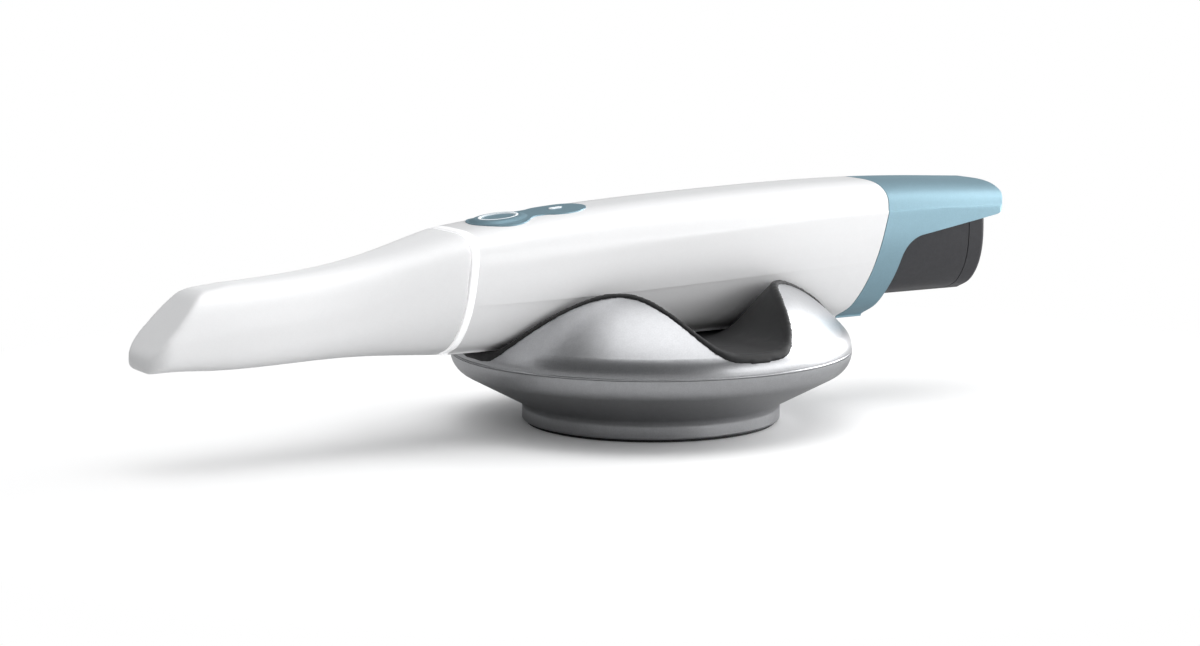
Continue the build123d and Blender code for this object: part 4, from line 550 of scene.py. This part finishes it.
class SCANNER_OT_liner(Operator):
    """Build the cradle's rubber liner with a round bead for an edge"""
    bl_idname = "scanner.liner"
    bl_label = "Liner"

    def execute(self, context):
        shapes = context.scene.scanner_shapes
        piece = even_copy("cradle_liner", "liner_shell", shapes.liner_grid)
        bead(piece.data, shapes.liner_rounds, shapes.liner_bead)
        stand_for(piece, "cradle_liner", "stand")
        return {"FINISHED"}


class SCANNER_OT_housings(DressNodes, Operator):
    """Finish the white housings and the ring in front of them, whose faint glow is painted light
    """
    bl_idname = "scanner.housings"
    bl_label = "Housings"
    nodes = ("upper_housing", "lower_housing", "nose_ring")


class SCANNER_OT_cover(DressNodes, Operator):
    """Finish the blue rear cover and its screws"""
    bl_idname = "scanner.cover"
    bl_label = "Rear Cover"
    nodes = ("rear_cover", "cover_screws")


class SCANNER_OT_controls(DressNodes, Operator):
    """Finish the control pad, scan button, light ring and indicator"""
    bl_idname = "scanner.controls"
    bl_label = "Controls"
    nodes = ("control_pad", "button_light_ring", "scan_button", "indicator_light",
             "button_board", "key_switch")


class SCANNER_OT_tip(DressNodes, Operator):
    """Build the removable tip with soft edges, and finish its mirror"""
    bl_idname = "scanner.tip"
    bl_label = "Tip"
    nodes = ("tip_mirror", "mirror_frame")

    def execute(self, context):
        shapes = context.scene.scanner_shapes
        piece = even_copy("tip_sleeve", "tip_shell", shapes.tip_grid)
        mesh = piece.data
        ease(mesh, np.ones(len(mesh.vertices)), shapes.settling)
        places, normals = mesh_points(mesh)
        low = np.array(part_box("tip_sleeve")[0])
        middle = places.copy()
        middle[:, 0] = np.maximum(places[:, 0], low[0] + shapes.tip_soft_end)
        middle[:, 1] = 0.0
        middle[:, 2] = low[2] + shapes.tip_soft_end
        outside = (normals * (places - middle)).sum(axis=1) > 0
        back = (places[:, 0] - low[0]) / shapes.tip_soft_reach
        fade = np.interp(back, (TIP_FADE_START, TIP_FADE_KNEE, 1.0),
                         (1.0, TIP_KNEE_SHARE, 0.0))
        ease(mesh, outside * fade, shapes.tip_rounds)
        stand_for(piece, "tip_sleeve", "tip")
        return super().execute(context)


class SCANNER_OT_nose(DressNodes, Operator):
    """Finish the nose that carries the tip"""
    bl_idname = "scanner.nose"
    bl_label = "Nose"
    nodes = ("nose_barrel", "nose_window", "nose_lens", "nose_seal", "tip_springs",
             "flange_screws")


class SCANNER_OT_optics(DressNodes, Operator):
    """Finish the optical bench and what stands on it"""
    bl_idname = "scanner.optics"
    bl_label = "Optics"
    nodes = ("chassis", "shell_screws", "guide_rods", "lens_carriage", "focus_lens",
             "focus_coil", "focus_magnets", "lens_barrel", "relay_lenses", "beam_splitter",
             "image_sensor", "lamp_holder", "pattern_plate", "collimator_lens", "heat_sink")


class SCANNER_OT_boards(DressNodes, Operator):
    """Finish the circuit boards, chips and ribbon"""
    bl_idname = "scanner.boards"
    bl_label = "Boards"
    nodes = ("sensor_board", "ribbon_cable", "light_board", "main_board", "board_chips",
             "board_screws", "antenna_board", "contact_board")


class SCANNER_OT_battery(DressNodes, Operator):
    """Finish the battery and the bay that it slides into"""
    bl_idname = "scanner.battery"
    bl_label = "Battery"
    nodes = ("battery_bay", "bay_screws", "contact_pins", "retention_spring",
             "battery_case", "battery_cap", "battery_cells", "cell_tray", "battery_board",
             "battery_contacts")


class SCANNER_OT_stage(Operator):
    """Set the pale floor, the soft lights and the camera"""
    bl_idname = "scanner.stage"
    bl_label = "Stage"

    def execute(self, context):
        stage = context.scene.scanner_stage
        context.scene.view_settings.view_transform = "Standard"
        make_floor(stage)
        make_room(stage)
        make_lights(stage)
        make_camera(stage)
        return {"FINISHED"}


def make_floor(stage):
    """Pale floor: white far off, and darker in what it throws back at the object."""
    mesh = bpy.data.meshes.new("floor")
    mesh.from_pydata([(x * FLOOR_REACH, y * FLOOR_REACH, 0.0)
                      for x, y in ((-1, -1), (1, -1), (1, 1), (-1, 1))], [], [(0, 1, 2, 3)])
    floor = bpy.data.objects.new("floor", mesh)
    bpy.context.collection.objects.link(floor)
    material = finish("floor_white", stage.floor, 0.85, grain=60.0, depth=0.0,
                      tones=0.002, handling=0.02, Specular_IOR_Level=0.2)
    tree = material.node_tree
    link = tree.links.new
    place = add_node(tree, "ShaderNodeTexCoord").outputs["Object"]
    path = add_node(tree, "ShaderNodeLightPath").outputs
    far = add_node(tree, "ShaderNodeVectorMath", operation="LENGTH")
    link(place, far.inputs[0])
    seen = add_node(tree, "ShaderNodeMixShader")
    link(map_range(tree, far.outputs["Value"], 0.0, 1.0, stage.fade_from, stage.fade_to),
         seen.inputs["Fac"])
    link(tree.nodes["Principled BSDF"].outputs["BSDF"], seen.inputs[1])
    link(add_node(tree, "ShaderNodeEmission").outputs["Emission"], seen.inputs[2])
    across = add_node(tree, "ShaderNodeSeparateXYZ")
    link(place, across.inputs["Vector"])
    thrown = map_range(tree, across.outputs["X"], stage.bounce * (1.0 - stage.floor_slant),
                       stage.bounce, -stage.slant_reach, 0.0)
    bounce = add_node(tree, "ShaderNodeBsdfDiffuse")
    link(map_range(tree, path["Is Glossy Ray"], thrown, stage.gloss_bounce),
         bounce.inputs["Color"])
    final = add_node(tree, "ShaderNodeMixShader")
    link(path["Is Camera Ray"], final.inputs["Fac"])
    link(bounce.outputs["BSDF"], final.inputs[1])
    link(seen.outputs["Shader"], final.inputs[2])
    link(final.outputs["Shader"], tree.nodes["Material Output"].inputs["Surface"])
    mesh.materials.append(material)


def make_room(stage):
    """White room that lights the object more from one side, also in reflections."""
    world = bpy.data.worlds.new("pale_room")
    world.use_nodes = True
    tree = world.node_tree
    link = tree.links.new
    way = add_node(tree, "ShaderNodeTexCoord").outputs["Generated"]
    path = add_node(tree, "ShaderNodeLightPath").outputs
    side = add_node(tree, "ShaderNodeVectorMath", operation="DOT_PRODUCT")
    side.inputs[1].default_value = ROOM_PALE_SIDE
    link(way, side.inputs[0])
    axes = add_node(tree, "ShaderNodeSeparateXYZ")
    link(way, axes.inputs["Vector"])
    light = map_range(tree, side.outputs["Value"], stage.sky * (1.0 - stage.sky_slant),
                      stage.sky * (1.0 + stage.sky_slant), start=-1.0)
    sheen = map_range(tree, axes.outputs["X"], stage.gloss_sky * (1.0 - stage.gloss_slant),
                      stage.gloss_sky * (1.0 + stage.gloss_slant), start=-1.0)
    dim = tree.nodes["Background"]
    dim.inputs["Color"].default_value = ROOM_TINT
    link(map_range(tree, path["Is Glossy Ray"], light, sheen), dim.inputs["Strength"])
    bright = add_node(tree, "ShaderNodeBackground")
    bright.inputs["Color"].default_value = WHITE
    blend = add_node(tree, "ShaderNodeMixShader")
    link(path["Is Camera Ray"], blend.inputs["Fac"])
    link(dim.outputs["Background"], blend.inputs[1])
    link(bright.outputs["Background"], blend.inputs[2])
    link(blend.outputs["Shader"], tree.nodes["World Output"].inputs["Surface"])
    bpy.context.scene.world = world


def make_lights(stage):
    """Large soft lights; the two fills don't show in reflections."""
    soft_light("side_key", (1.25, -0.05, 0.45), STAND_MIDDLE, (1.0, 1.0), stage.key)
    soft_light("overhead", (0.15, -0.12, 1.2), STAND_MIDDLE, (0.9, 1.1), stage.overhead)
    top = soft_light("top_fill", (-0.35, 0.0, 1.2), STAND_MIDDLE, (1.2, 1.0), stage.top)
    top.visible_glossy = False
    soft_light("front_panel", (0.75, -1.05, 0.26), BODY_MIDDLE, (1.2, 0.5), stage.front)
    fill = soft_light("fill", (0.05, -1.3, 0.25), BODY_MIDDLE, (1.5, 0.4), stage.fill)
    fill.visible_glossy = False


def soft_light(name, place, aim, size, power):
    light = bpy.data.lights.new(name, "AREA")
    light.shape = "RECTANGLE"
    light.size, light.size_y = size
    light.energy = power
    lamp = bpy.data.objects.new(name, light)
    lamp.location = place
    lamp.rotation_euler = (Vector(aim) - Vector(place)).to_track_quat("-Z", "Y").to_euler()
    bpy.context.collection.objects.link(lamp)
    return lamp


def heading(turn, drop):
    """Direction turned from +Y towards +X, and pointing down."""
    return Vector((math.sin(turn) * math.cos(drop), math.cos(turn) * math.cos(drop),
                   -math.sin(drop)))


def make_camera(stage):
    camera = bpy.data.cameras.new("camera")
    camera.lens = stage.lens
    camera.sensor_width = 36.0
    camera.clip_end = 50.0
    eye = bpy.data.objects.new("camera", camera)
    eye.location = (Vector((0.0, 0.0, stage.target))
                    - stage.distance * heading(stage.turn, stage.rise))
    look = heading(stage.aim_turn, stage.aim_drop)
    eye.rotation_euler = look.to_track_quat("-Z", "Y").to_euler()
    bpy.context.collection.objects.link(eye)
    bpy.context.scene.camera = eye


# ---- panel and registration -----------------------------------------------------------------
class SCANNER_PT_panel(Panel):
    """Lists the operators and every setting"""
    bl_label = "Scanner"
    bl_idname = "SCANNER_PT_panel"
    bl_space_type = "VIEW_3D"
    bl_region_type = "UI"
    bl_category = "Scanner"

    def draw(self, context):
        layout = self.layout
        for operator in OPERATORS:
            layout.operator(operator.bl_idname)
        scene = context.scene
        for group in (scene.scanner_looks, scene.scanner_shapes, scene.scanner_stage):
            box = layout.box()
            for name in type(group).__annotations__:
                box.prop(group, name)


OPERATORS = (SCANNER_OT_stage, SCANNER_OT_stand, SCANNER_OT_liner, SCANNER_OT_housings,
             SCANNER_OT_cover, SCANNER_OT_controls, SCANNER_OT_tip, SCANNER_OT_nose,
             SCANNER_OT_optics, SCANNER_OT_boards, SCANNER_OT_battery)
CLASSES = (ScannerLooks, ScannerShapes, ScannerStage, *OPERATORS, SCANNER_PT_panel)


def register():
    for cls in CLASSES:
        bpy.utils.register_class(cls)
    bpy.types.Scene.scanner_looks = PointerProperty(type=ScannerLooks)
    bpy.types.Scene.scanner_shapes = PointerProperty(type=ScannerShapes)
    bpy.types.Scene.scanner_stage = PointerProperty(type=ScannerStage)


def unregister():
    del bpy.types.Scene.scanner_stage
    del bpy.types.Scene.scanner_shapes
    del bpy.types.Scene.scanner_looks
    for cls in reversed(CLASSES):
        bpy.utils.unregister_class(cls)


def main():
    """Build everything."""
    register()
    for operator in OPERATORS:
        group, name = operator.bl_idname.split(".")
        getattr(getattr(bpy.ops, group), name)()


if __name__ == "__main__":
    main()
